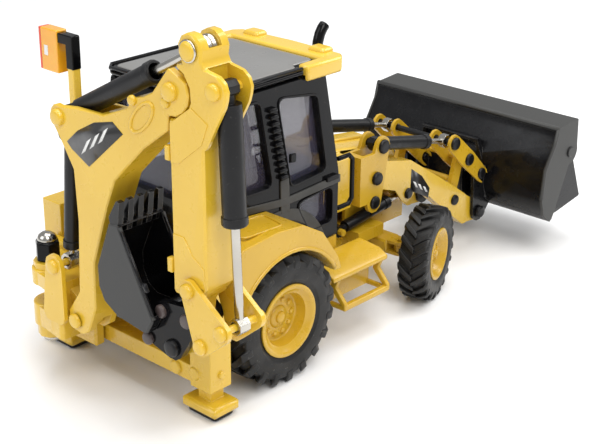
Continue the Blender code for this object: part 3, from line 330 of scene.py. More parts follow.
def along(axis, centre, start, way=1):
    """The place of a turned shape whose local Z runs along an axis from a start."""
    x, y, z = at(*spot(axis, centre[0], centre[1], start))
    turns = {
        "x": Matrix.Rotation(way * math.pi / 2, 4, "Y"),
        "y": Matrix.Rotation(-way * math.pi / 2, 4, "X"),
        "z": Matrix.Rotation(0 if way > 0 else math.pi, 4, "X"),
    }
    return Matrix.Translation((x, y, z)) @ turns[axis]


def slab(bm, axis, outline, span):
    """Adds a flat outline, filled between two values along an axis."""
    ends = [[bm.verts.new(at(*spot(axis, a, b, level))) for a, b in outline] for level in span]
    bm.faces.new(ends[0])
    bm.faces.new(ends[1])
    count = len(outline)
    for i in range(count):
        j = (i + 1) % count
        bm.faces.new((ends[0][i], ends[0][j], ends[1][j], ends[1][i]))


def block(bm, x, y, z):
    """Adds a box, given its span along each axis."""
    slab(bm, "z", [(x[0], y[0]), (x[1], y[0]), (x[1], y[1]), (x[0], y[1])], z)


def loft(bm, sections, closed=False):
    """Joins rings of points, in metres, into one skin with flat ends."""
    rings = [[bm.verts.new(point) for point in section] for section in sections]
    count = len(rings[0])
    for ring, after in zip(rings, rings[1:] + (rings[:1] if closed else [])):
        for i in range(count):
            j = (i + 1) % count
            bm.faces.new((ring[i], ring[j], after[j], after[i]))
    if not closed:
        bm.faces.new(rings[0])
        bm.faces.new(rings[-1])


def rope(bm, points, radius, sides=10, closed=False):
    """Adds a round bar along points in the machine's frame."""
    path = [at(*point) for point in points]
    count = len(path)
    sections = []
    normal = None
    for i, point in enumerate(path):
        before = path[i - 1] if i or closed else point
        after = path[(i + 1) % count] if i < count - 1 or closed else point
        way = (after - before).normalized()
        if normal is None:
            normal = way.orthogonal().normalized()
        normal = (normal - way * normal.dot(way)).normalized()
        side = way.cross(normal)
        turns = [math.tau * k / sides for k in range(sides)]
        sections.append([point + (normal * math.cos(t) + side * math.sin(t)) * radius * MM for t in turns])
    loft(bm, sections, closed)


def arc(centre, radius, start, sweep, steps):
    """Points round part of a circle, in degrees."""
    angles = [math.radians(start + sweep * i / steps) for i in range(steps + 1)]
    return [(centre[0] + radius * math.cos(t), centre[1] + radius * math.sin(t)) for t in angles]


def rounded(corners, radius, steps=4):
    """A convex outline with each corner rounded, for corners given anticlockwise."""
    points = []
    count = len(corners)
    for i in range(count):
        before, corner, after = (Vector(corners[(i + k) % count]) for k in (-1, 0, 1))
        back = (before - corner).normalized()
        ahead = (after - corner).normalized()
        half = back.angle(ahead) / 2
        reach = min(radius / math.tan(half), (before - corner).length / 2.2, (after - corner).length / 2.2)
        start, end = corner + back * reach, corner + ahead * reach
        for k in range(steps + 1):
            t = k / steps
            points.append(tuple(start * (1 - t) ** 2 + corner * 2 * t * (1 - t) + end * t ** 2))
    return points


def grown(corners, amount):
    """An outline scaled out from its middle, so that its points move about that far."""
    middle = Vector((sum(a for a, _ in corners), sum(b for _, b in corners))) / len(corners)
    return [tuple(Vector(c) + (Vector(c) - middle).normalized() * amount) for c in corners]


def frame_band(bm, axis, outline, width, span):
    """A raised band that follows a closed outline, such as a window's seal."""
    inner, outer = outline, grown(outline, width)
    sections = []
    for a, b in zip(inner, outer):
        corners = [(a, span[0]), (a, span[1]), (b, span[1]), (b, span[0])]
        sections.append([at(*spot(axis, p[0], p[1], level)) for p, level in corners])
    loft(bm, sections, closed=True)


# ---------------------------------------------------------------- pieces


def soften(obj, width, angle=42.0):
    """Rounds sharp edges a little and keeps flat faces flat."""
    weld = obj.modifiers.new("Weld", "WELD")
    weld.merge_threshold = 0.005 * MM
    flat = obj.modifiers.new("Flat faces", "DECIMATE")
    flat.decimate_type = "DISSOLVE"
    flat.angle_limit = math.radians(0.8)
    bevel = obj.modifiers.new("Soft edges", "BEVEL")
    bevel.width = width * MM
    bevel.segments = 2
    bevel.limit_method = "ANGLE"
    bevel.angle_limit = math.radians(angle)
    bevel.harden_normals = False
    shading = obj.modifiers.new("Flat shading", "WEIGHTED_NORMAL")
    shading.weight = 80


def piece(name, bm, look, body, edge=0.12, angle=42.0):
    """Makes a mesh into a piece that rides on a body."""
    bmesh.ops.recalc_face_normals(bm, faces=bm.faces)
    mesh = bpy.data.meshes.new(name)
    bm.to_mesh(mesh)
    bm.free()
    mesh.shade_smooth()
    obj = bpy.data.objects.new(name, mesh)
    bpy.context.scene.collection.objects.link(obj)
    obj.data.materials.append(LOOKS[look])
    if edge:
        soften(obj, edge, angle)
    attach(obj, body)
    return obj


CAD_LOOKS = {
    "yellow": [
        "engine_hood", "rear_frame", "stabiliser_leg_l", "stabiliser_leg_r", "side_shift_carriage",
        "swing_casting", "boom", "stick", "idler_link", "power_link", "loader_arms",
    ],
    "yellow_plastic": ["roof_visor"],
    "deep_yellow": [
        "main_frame", "rear_fender_l", "rear_fender_r", "tilt_levers", "tilt_links", "front_axle",
        "knuckle_l", "knuckle_r",
    ],
    "black": ["exhaust_stack", "cab_frame", "handrail_l", "handrail_r", "coupler", "roof_panel"],
    "satin": [
        "lever_cross_pin", "tower_pin_l", "tower_pin_r", "boom_cylinder_barrel", "stick_cylinder_barrel",
        "bucket_cylinder_barrel", "lift_cylinder_l_barrel", "lift_cylinder_r_barrel",
        "tilt_cylinder_l_barrel", "tilt_cylinder_r_barrel",
    ],
    "bucket": ["loader_bucket", "bucket_clam"],
    "digging_bucket": ["backhoe_bucket"],
    "steel": [
        "boom_cylinder_rod", "stick_cylinder_rod", "bucket_cylinder_rod", "lift_cylinder_l_rod",
        "lift_cylinder_r_rod", "tilt_cylinder_l_rod", "tilt_cylinder_r_rod",
    ],
    "tint": ["cab_glazing"],
}
CAD_EDGE = 0.25
FINER_EDGES = {"cab_glazing": 0.1, "bucket_clam": 0.12, "loader_bucket": 0.15, "backhoe_bucket": 0.15}


def paint_frame():
    """Gives each CAD node that stays in view its look and softer edges."""
    for look, names in CAD_LOOKS.items():
        for name in names:
            obj = frame["nodes"][name]
            obj.data.materials.clear()
            obj.data.materials.append(LOOKS[look])
            obj.data.shade_smooth()
            soften(obj, FINER_EDGES.get(name, CAD_EDGE))


# ---------------------------------------------------------------- wheels


def hub_place(joint, side):
    """The place of a wheel at its hub, with local Z outward and local X level."""
    axis = Vector(next(j["axis"] for j in frame["joints"] if j["name"] == joint)) * side
    ahead = Vector((axis.y, -axis.x, 0.0)) * side
    up = axis.cross(ahead)
    turn = Matrix((ahead, up, axis)).transposed().to_4x4()
    return Matrix.Translation(JOINTS[joint]) @ turn


def tyre(name, body, node, place, side, radius, rim_radius, width, lugs, sweep, lug_width, depth):
    """A turned carcass with two rows of slanting lugs that meet near the middle of the tread."""
    half = width / 2
    crown = radius - depth
    profile = [
        (rim_radius - 0.1, -half * 0.86), (rim_radius + 0.5, -half * 0.97), (radius * 0.76, -half),
        (radius * 0.88, -half * 0.93), (crown, -half * 0.72), (crown + 0.15, 0.0), (crown, half * 0.72),
        (radius * 0.88, half * 0.93), (radius * 0.76, half), (rim_radius + 0.9, half * 0.97),
        (rim_radius + 0.6, half * 0.90), (rim_radius - 0.1, half * 0.86),
    ]
    # A lug's stations: share of the half width, share of the sweep, top, root and relative width.
    stations = [
        (-0.06, 0.0, radius - 0.05, crown - 0.5, 0.9),
        (0.40, 0.45, radius, crown - 0.5, 1.0),
        (0.86, 0.95, radius - 0.12, radius * 0.84, 1.1),
        (1.0, 1.0, radius * 0.90, radius * 0.80, 0.8),
    ]
    bm = bmesh.new()
    turned(bm, profile, 72, place)
    for row in (-1, 1):
        for i in range(lugs):
            start = math.tau * (i + row * 0.25) / lugs
            sections = []
            for reach, share, top, root, wide in stations:
                angle = start + side * math.radians(sweep) * share
                level = row * half * reach
                half_lug = lug_width * wide / 2
                section = []
                for r, offset in ((root, -1.25), (top, -0.85), (top, 0.85), (root, 1.25)):
                    t = angle + offset * half_lug / radius
                    section.append(place @ (Vector((r * math.cos(t), r * math.sin(t), level)) * MM))
                sections.append(section)
            loft(bm, sections)
    obj = piece(name, bm, "rubber", body, 0.14, 35.0)
    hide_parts(node)


def rim(name, body, node, place, radius, width, dish, nuts):
    """A dished wheel centre with a rolled lip, a ring of nuts and a stepped hub."""
    bm = bmesh.new()
    face = width / 2
    floor = face - dish
    profile = [
        (0.0, floor + 1.15), (radius * 0.10, floor + 1.10), (radius * 0.15, floor + 0.9),
        (radius * 0.16, floor + 0.45), (radius * 0.27, floor + 0.40), (radius * 0.30, floor + 0.15),
        (radius * 0.31, floor), (radius * 0.62, floor - 0.1), (radius * 0.68, floor + 0.2),
        (radius * 0.73, face - 0.9), (radius * 0.80, face - 0.75), (radius * 0.86, face - 0.25),
        (radius * 0.93, face + 0.05), (radius, face - 0.1), (radius, -face + 0.1),
        (radius * 0.92, -face + 0.1), (radius * 0.84, -face + 0.8), (radius * 0.80, floor - 1.2),
        (0.0, floor - 1.2),
    ]
    turned(bm, profile, 48, place)
    size = radius * 0.072
    nut = [(size * 1.5, 0.0), (size * 1.5, 0.15), (size, 0.2), (size, 0.5), (size * 0.55, 0.62), (0.0, 0.62)]
    seat = Matrix.Translation((radius * 0.47 * MM, 0, (floor - 0.15) * MM))
    for i in range(nuts):
        turn = Matrix.Rotation(math.tau * i / nuts, 4, "Z")
        turned(bm, nut, 12, place @ turn @ seat)
    obj = piece(name, bm, "deep_yellow", body, 0.06, 50.0)
    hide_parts(node)


def wheels():
    """The four tyres and wheel centres. A rim is a little narrower than its tyre."""
    for side, tag in SIDES:
        rear = hub_place(f"rear_wheel_{tag}_roll", side)
        front = hub_place(f"front_wheel_{tag}_roll", side)
        rear_body, front_body = f"rear_wheel_{tag}", f"front_wheel_{tag}"
        tyre(
            f"rear_tread_{tag}", rear_body, f"rear_tyre_{tag}", rear, side,
            radius=REAR_RADIUS, rim_radius=REAR_RIM, width=REAR_WIDTH,
            lugs=19, sweep=19.0, lug_width=1.9, depth=1.15,
        )
        tyre(
            f"front_tread_{tag}", front_body, f"front_tyre_{tag}", front, side,
            radius=FRONT_RADIUS, rim_radius=FRONT_RIM, width=FRONT_WIDTH,
            lugs=20, sweep=15.0, lug_width=1.35, depth=0.85,
        )
        rim(
            f"rear_wheel_centre_{tag}", rear_body, f"rear_rim_{tag}", rear,
            radius=REAR_RIM, width=REAR_WIDTH - 0.4, dish=3.0, nuts=10,
        )
        rim(
            f"front_wheel_centre_{tag}", front_body, f"front_rim_{tag}", front,
            radius=FRONT_RIM, width=FRONT_WIDTH - 0.3, dish=1.7, nuts=8,
        )


# ------------------------------------------------------------------ pins


def head_profile(radius, height):
    """The profile of a low domed head that sits on a face."""
    return [
        (radius, -0.15), (radius, height * 0.55), (radius * 0.88, height * 0.88), (radius * 0.72, height),
        (radius * 0.30, height * 1.04), (0.0, height * 1.05),
    ]


def pin_heads(name, look, body, axis, centre, ends, radius, height=0.55):
    """Domed heads on the ends of a pin. Each end has its distance along the axis and its way."""
    bm = bmesh.new()
    for level, way in ends:
        turned(bm, head_profile(radius, height), 20, along(axis, centre, level, way))
    piece(name, bm, look, body, 0.0)


def both_ways(middle, reach):
    """The two ends of a pin that reaches equally far either way."""
    return [(middle - reach, -1), (middle + reach, 1)]


def backhoe_pins():
    """Heads on the digging gear's pins, and the stick cylinder's bright eye."""
    # Name, look, body, joint, half the pin's length, and the head's radius and height.
    rows = [
        ("boom_foot_heads", "yellow", "swing_casting", "boom_lower", 3.4, 1.35, 0.5),
        ("boom_tip_heads", "yellow", "boom", "stick_out", 3.0, 1.5, 0.75),
        ("elbow_heads", "yellow", "boom", "boom_barrel_swing", 3.0, 1.45, 0.75),
        ("cylinder_lug_heads", "yellow", "swing_casting", "boom_rod_swing", 4.1, 1.3, 0.7),
        ("barrel_pin_heads", "yellow", "stick", "bucket_barrel_swing", 3.0, 1.35, 0.75),
        ("stick_eye_heads", "yellow", "stick", "stick_rod_swing", 3.0, 1.55, 0.75),
        ("idler_heads", "yellow", "stick", "idler_swing", 4.15, 1.3, 0.75),
        ("idler_rod_heads", "yellow", "idler", "bucket_rod_swing", 4.1, 1.25, 0.7),
        ("idler_link_heads", "yellow", "idler", "power_link_swing", 4.1, 1.3, 0.7),
        ("coupler_nose_heads", "pin", "digging_bucket", "bucket_dump", 2.9, 1.25, 0.7),
    ]
    for name, look, body, joint, reach, radius, height in rows:
        pin_heads(name, look, body, "x", pivot(joint, "x"), both_ways(DIG_X, reach), radius, height)
    ends = both_ways(DIG_X, 2.9)
    for name, centre in (("hook_high_heads", HOOK_HIGH), ("hook_low_heads", HOOK_LOW)):
        pin_heads(name, "pin", "digging_bucket", "x", centre, ends, 1.15, 0.7)
    pin_heads("link_foot_heads", "satin", "digging_bucket", "x", LINK_FOOT, ends, 1.5, 0.8)
    # A bright collar shows between the stick's two ears.
    eye = pivot("stick_rod_swing", "x")
    bm = bmesh.new()
    for way in (-1, 1):
        collar = [(1.75, 0.0), (1.75, 0.3), (1.6, 0.35), (1.0, 0.35), (1.0, 0.0)]
        turned(bm, collar, 24, along("x", eye, DIG_X + way * 3.05, way))
    piece("stick_eye_washers", bm, "steel", "stick", 0.0)
    # The rod's bright, grooved eye fills the gap between the ears.
    bm = bmesh.new()
    grooved = [(1.0, -1.45), (1.85, -1.45), (1.85, -0.75), (1.6, -0.55), (1.6, -0.35), (1.85, -0.15)]
    grooved += [(radius, -level) for radius, level in grooved[::-1]]
    turned(bm, grooved, 28, along("x", eye, DIG_X))
    piece("stick_rod_eye", bm, "steel", "stick", 0.0)


def loader_pins():
    """Heads on the loader's pins."""
    # Name, body, joint, half the pin's length and the head's radius.
    rows = [
        ("arm_pivot_heads", "chassis", "loader_lift", 10.3, 1.35),
        ("lift_lug_heads", "loader_arms", "lift_rod_l_swing", 9.0, 1.15),
        ("arm_link_heads", "loader_arms", "tilt_link_swing", 9.0, 1.15),
        ("hinge_heads", "loader_bucket", "bucket_tilt", 10.0, 1.35),
        ("lever_shaft_heads", "tilt_levers", "tilt_lever_swing", 10.5, 1.35),
        ("lever_pin_heads", "lever_cross_pin", "lever_pin_turn", 10.6, 1.35),
    ]
    for name, body, joint, reach, radius in rows:
        pin_heads(name, "satin", body, "y", pivot(joint, "y"), both_ways(0.0, reach), radius, 0.6)
    for side, tag in SIDES:
        tower = pivot(f"tower_pin_{tag}_turn", "y")
        end = [(side * 10.1, side)]
        pin_heads(f"tower_heads_{tag}", "satin", f"tower_pin_{tag}", "y", tower, end, 1.45, 0.6)
    pin_heads("tower_foot_heads", "satin", "chassis", "y", TOWER_FOOT, both_ways(0.0, 10.0), 1.35, 0.6)
    pin_heads("tilt_pin_heads", "satin", "loader_bucket", "y", TILT_PIN, both_ways(0.0, 10.6), 1.2, 0.5)


# ---------------------------------------------------------------- decals


def slanted_panel(name, body, axis, outline, face, way, stripes, slope, lean, tall):
    """A thin dark panel with white slanted stripes, printed on a flat side.

    The stripes are points. slope is the run of a stripe's foot, with its rise as a share of the
    height tall, and lean is how far its top is set off sideways.
    """
    bm = bmesh.new()
    slab(bm, axis, outline, (face, face + way * 0.06))
    piece(f"{name}_panel", bm, "print", body, 0.0)
    bm = bmesh.new()
    foot = ((0.0, -0.5), (slope[0], -0.5 + slope[1]))
    top = ((slope[0] + lean, 0.5 + slope[1]), (lean, 0.5))
    for a, b in stripes:
        corners = [(a + u, b + v * tall) for u, v in foot + top]
        slab(bm, axis, corners, (face + way * 0.05, face + way * 0.10))
    piece(f"{name}_stripes", bm, "white", body, 0.0)


def decals():
    """Generic striped panels on both sides of the boom and on the loader arms."""
    panel = [
        (0.4, 48.05), (-2.6, 50.6), (-6.8, 52.9), (-11.4, 54.1), (-13.8, 52.6), (-5.0, 45.0), (-0.8, 47.0),
    ]
    bars = [(-3.2, 48.0), (-5.4, 49.4), (-7.6, 50.8)]
    for way, tag in ((-1, "outer"), (1, "inner")):
        face = DIG_X + way * DIG_HALF
        slanted_panel(f"boom_{tag}", "boom", "x", panel, face, way, bars, (-1.1, 0.3), -1.6, 2.6)
    plate = [(50.9, 24.0), (54.6, 21.4), (57.4, 17.9), (57.0, 15.9), (50.8, 19.2)]
    marks = [(52.5, 20.3), (54.2, 19.3), (55.9, 18.3)]
    for side, tag in SIDES:
        face = side * ARM_FACE
        slanted_panel(f"arm_{tag}", "loader_arms", "y", plate, face, side, marks, (0.8, -0.25), -0.9, 1.5)


# ------------------------------------------------------- boom and stick


def raised_ring(bm, axis, centre, size, turn, face, thick=0.32):
    """An oval bead on a flat side. Size is its two half lengths and turn is in degrees."""
    c, s = math.cos(math.radians(turn)), math.sin(math.radians(turn))
    points = []
    for i in range(32):
        t = math.tau * i / 32
        u, v = size[0] * math.cos(t), size[1] * math.sin(t)
        points.append(spot(axis, centre[0] + u * c - v * s, centre[1] + u * s + v * c, face))
    rope(bm, points, thick, 8, closed=True)


def boom_detail():
    """A cast oval bead and two bosses on each side of the boom."""
    bm = bmesh.new()
    for way in (-1, 1):
        face = DIG_X + way * DIG_HALF
        raised_ring(bm, "x", (-18.4, 56.4), (3.5, 1.5), -46.0, face)
        for centre in ((-16.4, 58.7), (-24.0, 60.0)):
            turned(bm, head_profile(0.85, 0.5), 18, along("x", centre, face, way))
    piece("boom_castings", bm, "yellow", "boom", 0.0)


def stick_detail():
    """Raised cheeks on the stick's sides and two lugs on its inner edge."""
    bm = bmesh.new()
    for way in (-1, 1):
        face = DIG_X + way * DIG_HALF
        span = (face - way * 0.1, face + way * 0.14)
        lower = [(-24.8, 29.6), (-31.6, 31.8), (-31.6, 35.0), (-29.0, 36.6), (-27.2, 39.2), (-24.8, 39.2)]
        upper = [(-24.8, 57.0), (-24.8, 50.7), (-26.5, 51.0), (-31.6, 55.1), (-33.0, 58.6), (-29.4, 60.4)]
        slab(bm, "x", lower, span)
        slab(bm, "x", upper, span)
    piece("stick_cheeks", bm, "yellow", "stick", 0.08)
    bm = bmesh.new()
    block(bm, (DIG_X - 3.5, DIG_X - 2.4), (-24.7, -23.6), (32.5, 35.0))
    block(bm, (DIG_X - 3.4, DIG_X - 2.4), (-24.7, -23.7), (51.0, 53.4))
    piece("stick_lugs", bm, "yellow", "stick", 0.2)


# ------------------------------------------------------------------- cab


def cab_span(side, inward, outward):
    """The span across the machine of a piece set into a cab side and standing out from it."""
    return (side * (CAB_FACE - inward), side * (CAB_FACE + outward))


def window_seals(side, tag):
    """A rubber seal round each of a side's three panes."""
    panes = [
        [(-7.6, 34.4), (5.2, 34.0), (2.0, 50.4), (-6.4, 50.4)],
        [(10.2, 32.8), (19.6, 33.4), (16.8, 48.4), (6.6, 50.0)],
        [(15.2, 22.6), (21.4, 22.6), (21.4, 29.6), (11.6, 28.8)],
    ]
    bm = bmesh.new()
    for corners in panes:
        frame_band(bm, "y", rounded(corners, 1.4), 0.45, cab_span(side, 0.5, 0.28))
    piece(f"window_seals_{tag}", bm, "black", "chassis", 0.1)


def pillar_ribs(side, tag):
    """Ribs up the leaning pillar between the two upper panes."""
    bm = bmesh.new()
    for i in range(11):
        z = 35.2 + 1.32 * i
        middle = 8.1 - (z - 34.0) * 0.215
        rib = [
            (middle - 1.05, z - 0.34), (middle + 1.05, z - 0.34),
            (middle + 0.9, z + 0.42), (middle - 0.9, z + 0.42),
        ]
        slab(bm, "y", rib, cab_span(side, 0.2, 0.85))
    piece(f"pillar_ribs_{tag}", bm, "black", "chassis", 0.22)


def door_bands(side, tag):
    """A belt under the windows, the round band on the door and the pillar's foot."""
    bm = bmesh.new()
    belt = [(-12.0, 31.6), (8.6, 29.5), (23.5, 30.0), (23.5, 31.5), (8.6, 30.9), (-12.0, 33.0)]
    slab(bm, "y", belt, cab_span(side, 0.2, 0.36))
    arch = arc(DOOR_ARCH, 13.3, 16.0, 84.0, 18)
    arch += arc(DOOR_ARCH, 11.0, 100.0, -84.0, 18)
    slab(bm, "y", arch, cab_span(side, 0.2, 0.26))
    foot = [(7.3, 28.2), (9.7, 28.2), (9.4, 34.6), (7.2, 34.6)]
    slab(bm, "y", foot, cab_span(side, 0.2, 0.31))
    piece(f"door_bands_{tag}", bm, "trim", "chassis", 0.1)


def door_trim(side, tag):
    """The door's handle and its two hinges."""
    bm = bmesh.new()
    block(bm, (19.4, 22.6), cab_span(side, 0.1, 0.75), (31.0, 31.9))
    for z in (24.2, 37.4):
        block(bm, (9.6, 11.0), cab_span(side, 0.1, 0.6), (z, z + 1.6))
    piece(f"door_trim_{tag}", bm, "black", "chassis", 0.15)


def cab_detail():
    """What stands out from the cab's two sides."""
    for side, tag in SIDES:
        window_seals(side, tag)
        pillar_ribs(side, tag)
        door_bands(side, tag)
        door_trim(side, tag)


def driver_seat():
    """A padded seat with a back, a headrest and armrests."""
    bm = bmesh.new()
    cushion = rounded([(-1.5, -4.4), (7.0, -4.4), (7.0, 4.4), (-1.5, 4.4)], 1.6)
    for low, high, inset in ((27.4, 28.6, 0.5), (28.6, 30.0, 0.0)):
        slab(bm, "z", grown(cushion, -inset), (low, high))
    back = rounded([(-2.4, 29.4), (0.2, 29.2), (-1.8, 43.0), (-4.0, 43.0)], 0.9)
    slab(bm, "y", back, (-4.1, 4.1))
    head = rounded([(-3.8, 43.4), (-1.9, 43.4), (-2.3, 46.4), (-4.2, 46.4)], 0.8)
    slab(bm, "y", head, (-2.3, 2.3))
    armrest = rounded([(-1.6, 33.0), (5.6, 33.0), (5.6, 34.2), (-1.6, 34.2)], 0.5)
    for side in (-1, 1):
        slab(bm, "y", armrest, (side * 4.7, side * 5.8))
    piece("driver_seat", bm, "seat", "chassis", 0.6)


def cab_controls():
    """The seat's base, the console, the steering wheel with three spokes, and two levers."""
    bm = bmesh.new()
    slab(bm, "z", rounded([(0.0, -2.8), (5.4, -2.8), (5.4, 2.8), (0.0, 2.8)], 0.8), (21.2, 27.5))
    slab(bm, "y", [(14.6, 21.2), (18.6, 21.2), (16.6, 31.4), (14.4, 31.4)], (-3.0, 3.0))
    rope(bm, [(15.6, 0, 30.8), (13.8, 0, 33.8)], 0.55)
    centre, tilt = Vector((13.6, 0.0, 34.2)), math.radians(30)
    back_up = Vector((math.cos(tilt), 0, math.sin(tilt)))

    def on_wheel(turn, radius):
        """A point of the steering wheel's plane."""
        return tuple(centre + (back_up * math.cos(turn) + Vector((0, 1, 0)) * math.sin(turn)) * radius)

    rope(bm, [on_wheel(math.tau * i / 32, 3.1) for i in range(32)], 0.34, 8, closed=True)
    for spoke in (90, 210, 330):
        rope(bm, [tuple(centre), on_wheel(math.radians(spoke), 3.0)], 0.25, 8)
    for y in (-3.8, 3.8):
        rope(bm, [(-4.0, y, 28.0), (-5.4, y * 0.8, 34.6)], 0.3, 8)
        turned(bm, head_profile(0.7, 1.2), 14, along("z", (-5.4, y * 0.8), 34.4))
    piece("cab_controls", bm, "black", "chassis", 0.12)


def roof_detail():
    """The roof panel's shallow grey crown, a lip along its back and sides, and the visor's humps."""
    low, high = edges_of("roof_panel")
    top = high.z
    bm = bmesh.new()
    right = [(low.x + 1.6, -12.0), (12.4, -12.0), (12.8, -10.6), (18.5, -10.6)]
    outline = rounded(right + [(x, -y) for x, y in right[::-1]], 1.2)
    sections = []
    for share, rise in ((0.0, -0.2), (0.0, 0.15), (1.6, 0.42), (3.6, 0.55)):
        sections.append([at(a, b, top + rise) for a, b in grown(outline, -share)])
    loft(bm, sections)
    piece("roof_crown", bm, "roof", "chassis", 0.2)
    bm = bmesh.new()
    edge = [(12.6, -13.3), (low.x + 1.9, -13.3), (low.x + 0.3, -11.7), (low.x + 0.3, 11.7)]
    edge += [(low.x + 1.9, 13.3), (12.6, 13.3)]
    rope(bm, [(x, y, top) for x, y in edge], 0.38, 10)
    piece("roof_lip", bm, "black", "chassis", 0.0)
    visor = edges_of("roof_visor")[1]
    bm = bmesh.new()
    for y in (-8.4, 8.4):
        back, front = visor.x - 3.4, visor.x - 0.3
        hump = rounded([(back, y - 2.0), (front, y - 2.0), (front, y + 2.0), (back, y + 2.0)], 0.7)
        sections = []
        for share, rise in ((0.0, -0.3), (0.0, 0.3), (0.5, 0.75)):
            sections.append([at(a, b, visor.z + rise) for a, b in grown(hump, -share)])
        loft(bm, sections)
    piece("visor_humps", bm, "yellow_plastic", "chassis", 0.2)


# -------------------------------------------------------------- bodywork


def hood_detail():
    """Side louvres, a front grille and creases along the hood's top."""
    front = edges_of("engine_hood")[1].x
    bm = bmesh.new()
    for side in (-1, 1):
        for i in range(6):
            x = 35.2 + 2.1 * i
            slot = [(x, 22.4), (x + 1.2, 22.4), (x + 1.2, 27.6), (x, 27.6)]
            slab(bm, "y", slot, (side * 5.0, side * 5.35))
    for i in range(7):
        z = 19.4 + 1.15 * i
        block(bm, (front - 0.2, front + 0.25), (-3.8, 3.8), (z, z + 0.5))
    piece("hood_grilles", bm, "satin", "chassis", 0.1)
    bm = bmesh.new()
    rope(bm, [(26.0, 0.0, 33.0), (48.4, 0.0, 29.9)], 0.35)
    for y in (-4.6, 4.6):
        rope(bm, [(33.2, y, 31.3), (48.2, y, 29.2)], 0.25)
    piece("hood_creases", bm, "yellow", "chassis", 0.0)


def fender_detail():
    """A bead round each rear fender's arch and one that outlines a panel on its top."""
    out = edges_of("rear_fender_l")[1].y
    hub = (0.0, REAR_RADIUS)
    crest, bend, fall = 30.6, -3.4, 0.09
    for side, tag in SIDES:
        bm = bmesh.new()
        lip = [(a, side * (out - 0.1), b) for a, b in arc(hub, 13.55, 30.0, 118.0, 20)]
        rope(bm, lip, 0.42)
        inner, outer = side * (CAB_FACE + 1.6), side * (out - 2.2)
        panel = [(-9.6, inner), (1.4, inner), (0.2, outer), (-9.2, outer)]
        route = rounded(panel if side > 0 else panel[::-1], 1.2)
        top = [(x, y, crest + 0.02 if x < bend else crest - fall * (x - bend)) for x, y in route]
        rope(bm, top, 0.22, 8, closed=True)
        piece(f"fender_beads_{tag}", bm, "deep_yellow", "chassis", 0.0)


def steps():
    """A sloping plate with a lip over an apron, and a bent strap that carries the lower bar."""
    plate = [(12.9, 16.5), (18.2, 16.0), (20.2, 14.9), (20.2, 14.0), (18.0, 14.9), (12.9, 15.3)]
    strap = [
        (17.8, 15.0), (19.6, 14.4), (18.5, 11.9), (21.0, 9.0), (21.0, 7.6), (14.8, 7.6), (14.8, 8.5),
        (19.9, 8.5), (17.1, 11.5),
    ]
    bar = [(19.7, 7.6), (21.0, 7.6), (21.0, 8.7), (19.9, 8.9)]
    apron = [(14.6, 7.6), (15.8, 7.6), (15.8, 15.4), (14.6, 15.4)]
    rows = [
        (plate, 14.2, 30.0), (strap, 16.6, 17.6), (strap, 29.0, 30.0), (bar, 17.0, 29.5), (apron, 16.8, 29.8),
    ]
    for side, tag in SIDES:
        bm = bmesh.new()
        for outline, back, front in rows:
            slab(bm, "x", [(side * y, z) for y, z in outline], (back, front))
        obj = piece(f"step_and_strap_{tag}", bm, "deep_yellow", "chassis", 0.28, 30.0)
        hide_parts(f"step_{tag}")


def tail_lamps():
    """A yellow post, a black elbow and an amber lamp with a red stripe and a white reflector."""
    post = rounded([(-15.9, 14.8), (-14.1, 14.8), (-14.1, 16.5), (-15.9, 16.5)], 0.4)
    elbow = [
        (14.7, 54.2), (16.6, 54.2), (16.6, 58.5), (18.8, 58.5), (18.8, 60.3), (14.9, 60.3), (14.7, 60.0),
    ]
    # Each box's name, look, spans across, up and along the machine, and edge.
    boxes = [
        ("lens", "amber", (18.6, 23.2), (52.9, 60.7), (-16.2, -13.8), 0.25),
        ("stripe", "red", (23.1, 23.8), (52.95, 60.65), (-16.15, -13.85), 0.2),
        ("reflector", "white", (21.2, 22.2), (55.8, 57.6), (-16.3, -13.7), 0.05),
    ]
    for side, tag in SIDES:
        bm = bmesh.new()
        slab(bm, "z", post, (22.2, 54.6))
        if side < 0:
            bmesh.ops.transform(bm, verts=bm.verts, matrix=mirror_y())
        obj = piece(f"lamp_post_{tag}", bm, "yellow_plastic", "chassis", 0.12)
        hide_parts(f"tail_lamp_{tag}")
        bm = bmesh.new()
        slab(bm, "x", elbow, (-15.95, -14.05))
        if side < 0:
            bmesh.ops.transform(bm, verts=bm.verts, matrix=mirror_y())
        piece(f"lamp_elbow_{tag}", bm, "black", "chassis", 0.2)
        for kind, look, y, z, x, edge in boxes:
            bm = bmesh.new()
            block(bm, x, (side * y[0], side * y[1]), z)
            piece(f"lamp_{kind}_{tag}", bm, look, "chassis", edge)


def mirror_y():
    """Swaps left and right about the machine's centre plane."""
    shift = Matrix.Translation((0, ORIGIN.y, 0))
    return shift @ Matrix.Diagonal((1, -1, 1, 1)) @ shift.inverted()


def exhaust_detail():
    """A collar and a silencer on the stack, and its curved spout."""
    low, high = edges_of("exhaust_stack")
    x, y = low.x + 0.9, (low.y + high.y) / 2
    bm = bmesh.new()
    collar = [(1.5, 0.0), (1.5, 1.4), (1.2, 1.7), (1.0, 1.7), (1.0, 0.0)]
    turned(bm, collar, 24, along("z", (x, y), 33.2))
    muffler = [(0.95, 0.0), (1.5, 0.6), (1.5, 8.0), (0.95, 8.8), (0.9, 8.8), (0.9, 0.0)]
    turned(bm, muffler, 24, along("z", (x, y), 36.0))
    piece("exhaust_muffler", bm, "satin", "chassis", 0.0)
    bm = bmesh.new()
    spout = [(0.0, 50.0), (-0.1, 53.0), (0.1, 54.6), (0.6, 56.0), (1.3, 57.0), (2.0, 57.6)]
    rope(bm, [(x + bend, y, z) for bend, z in spout], 1.05, 14)
    piece("exhaust_spout", bm, "black", "chassis", 0.2, 60.0)


# ------------------------------------------------------ rear and buckets


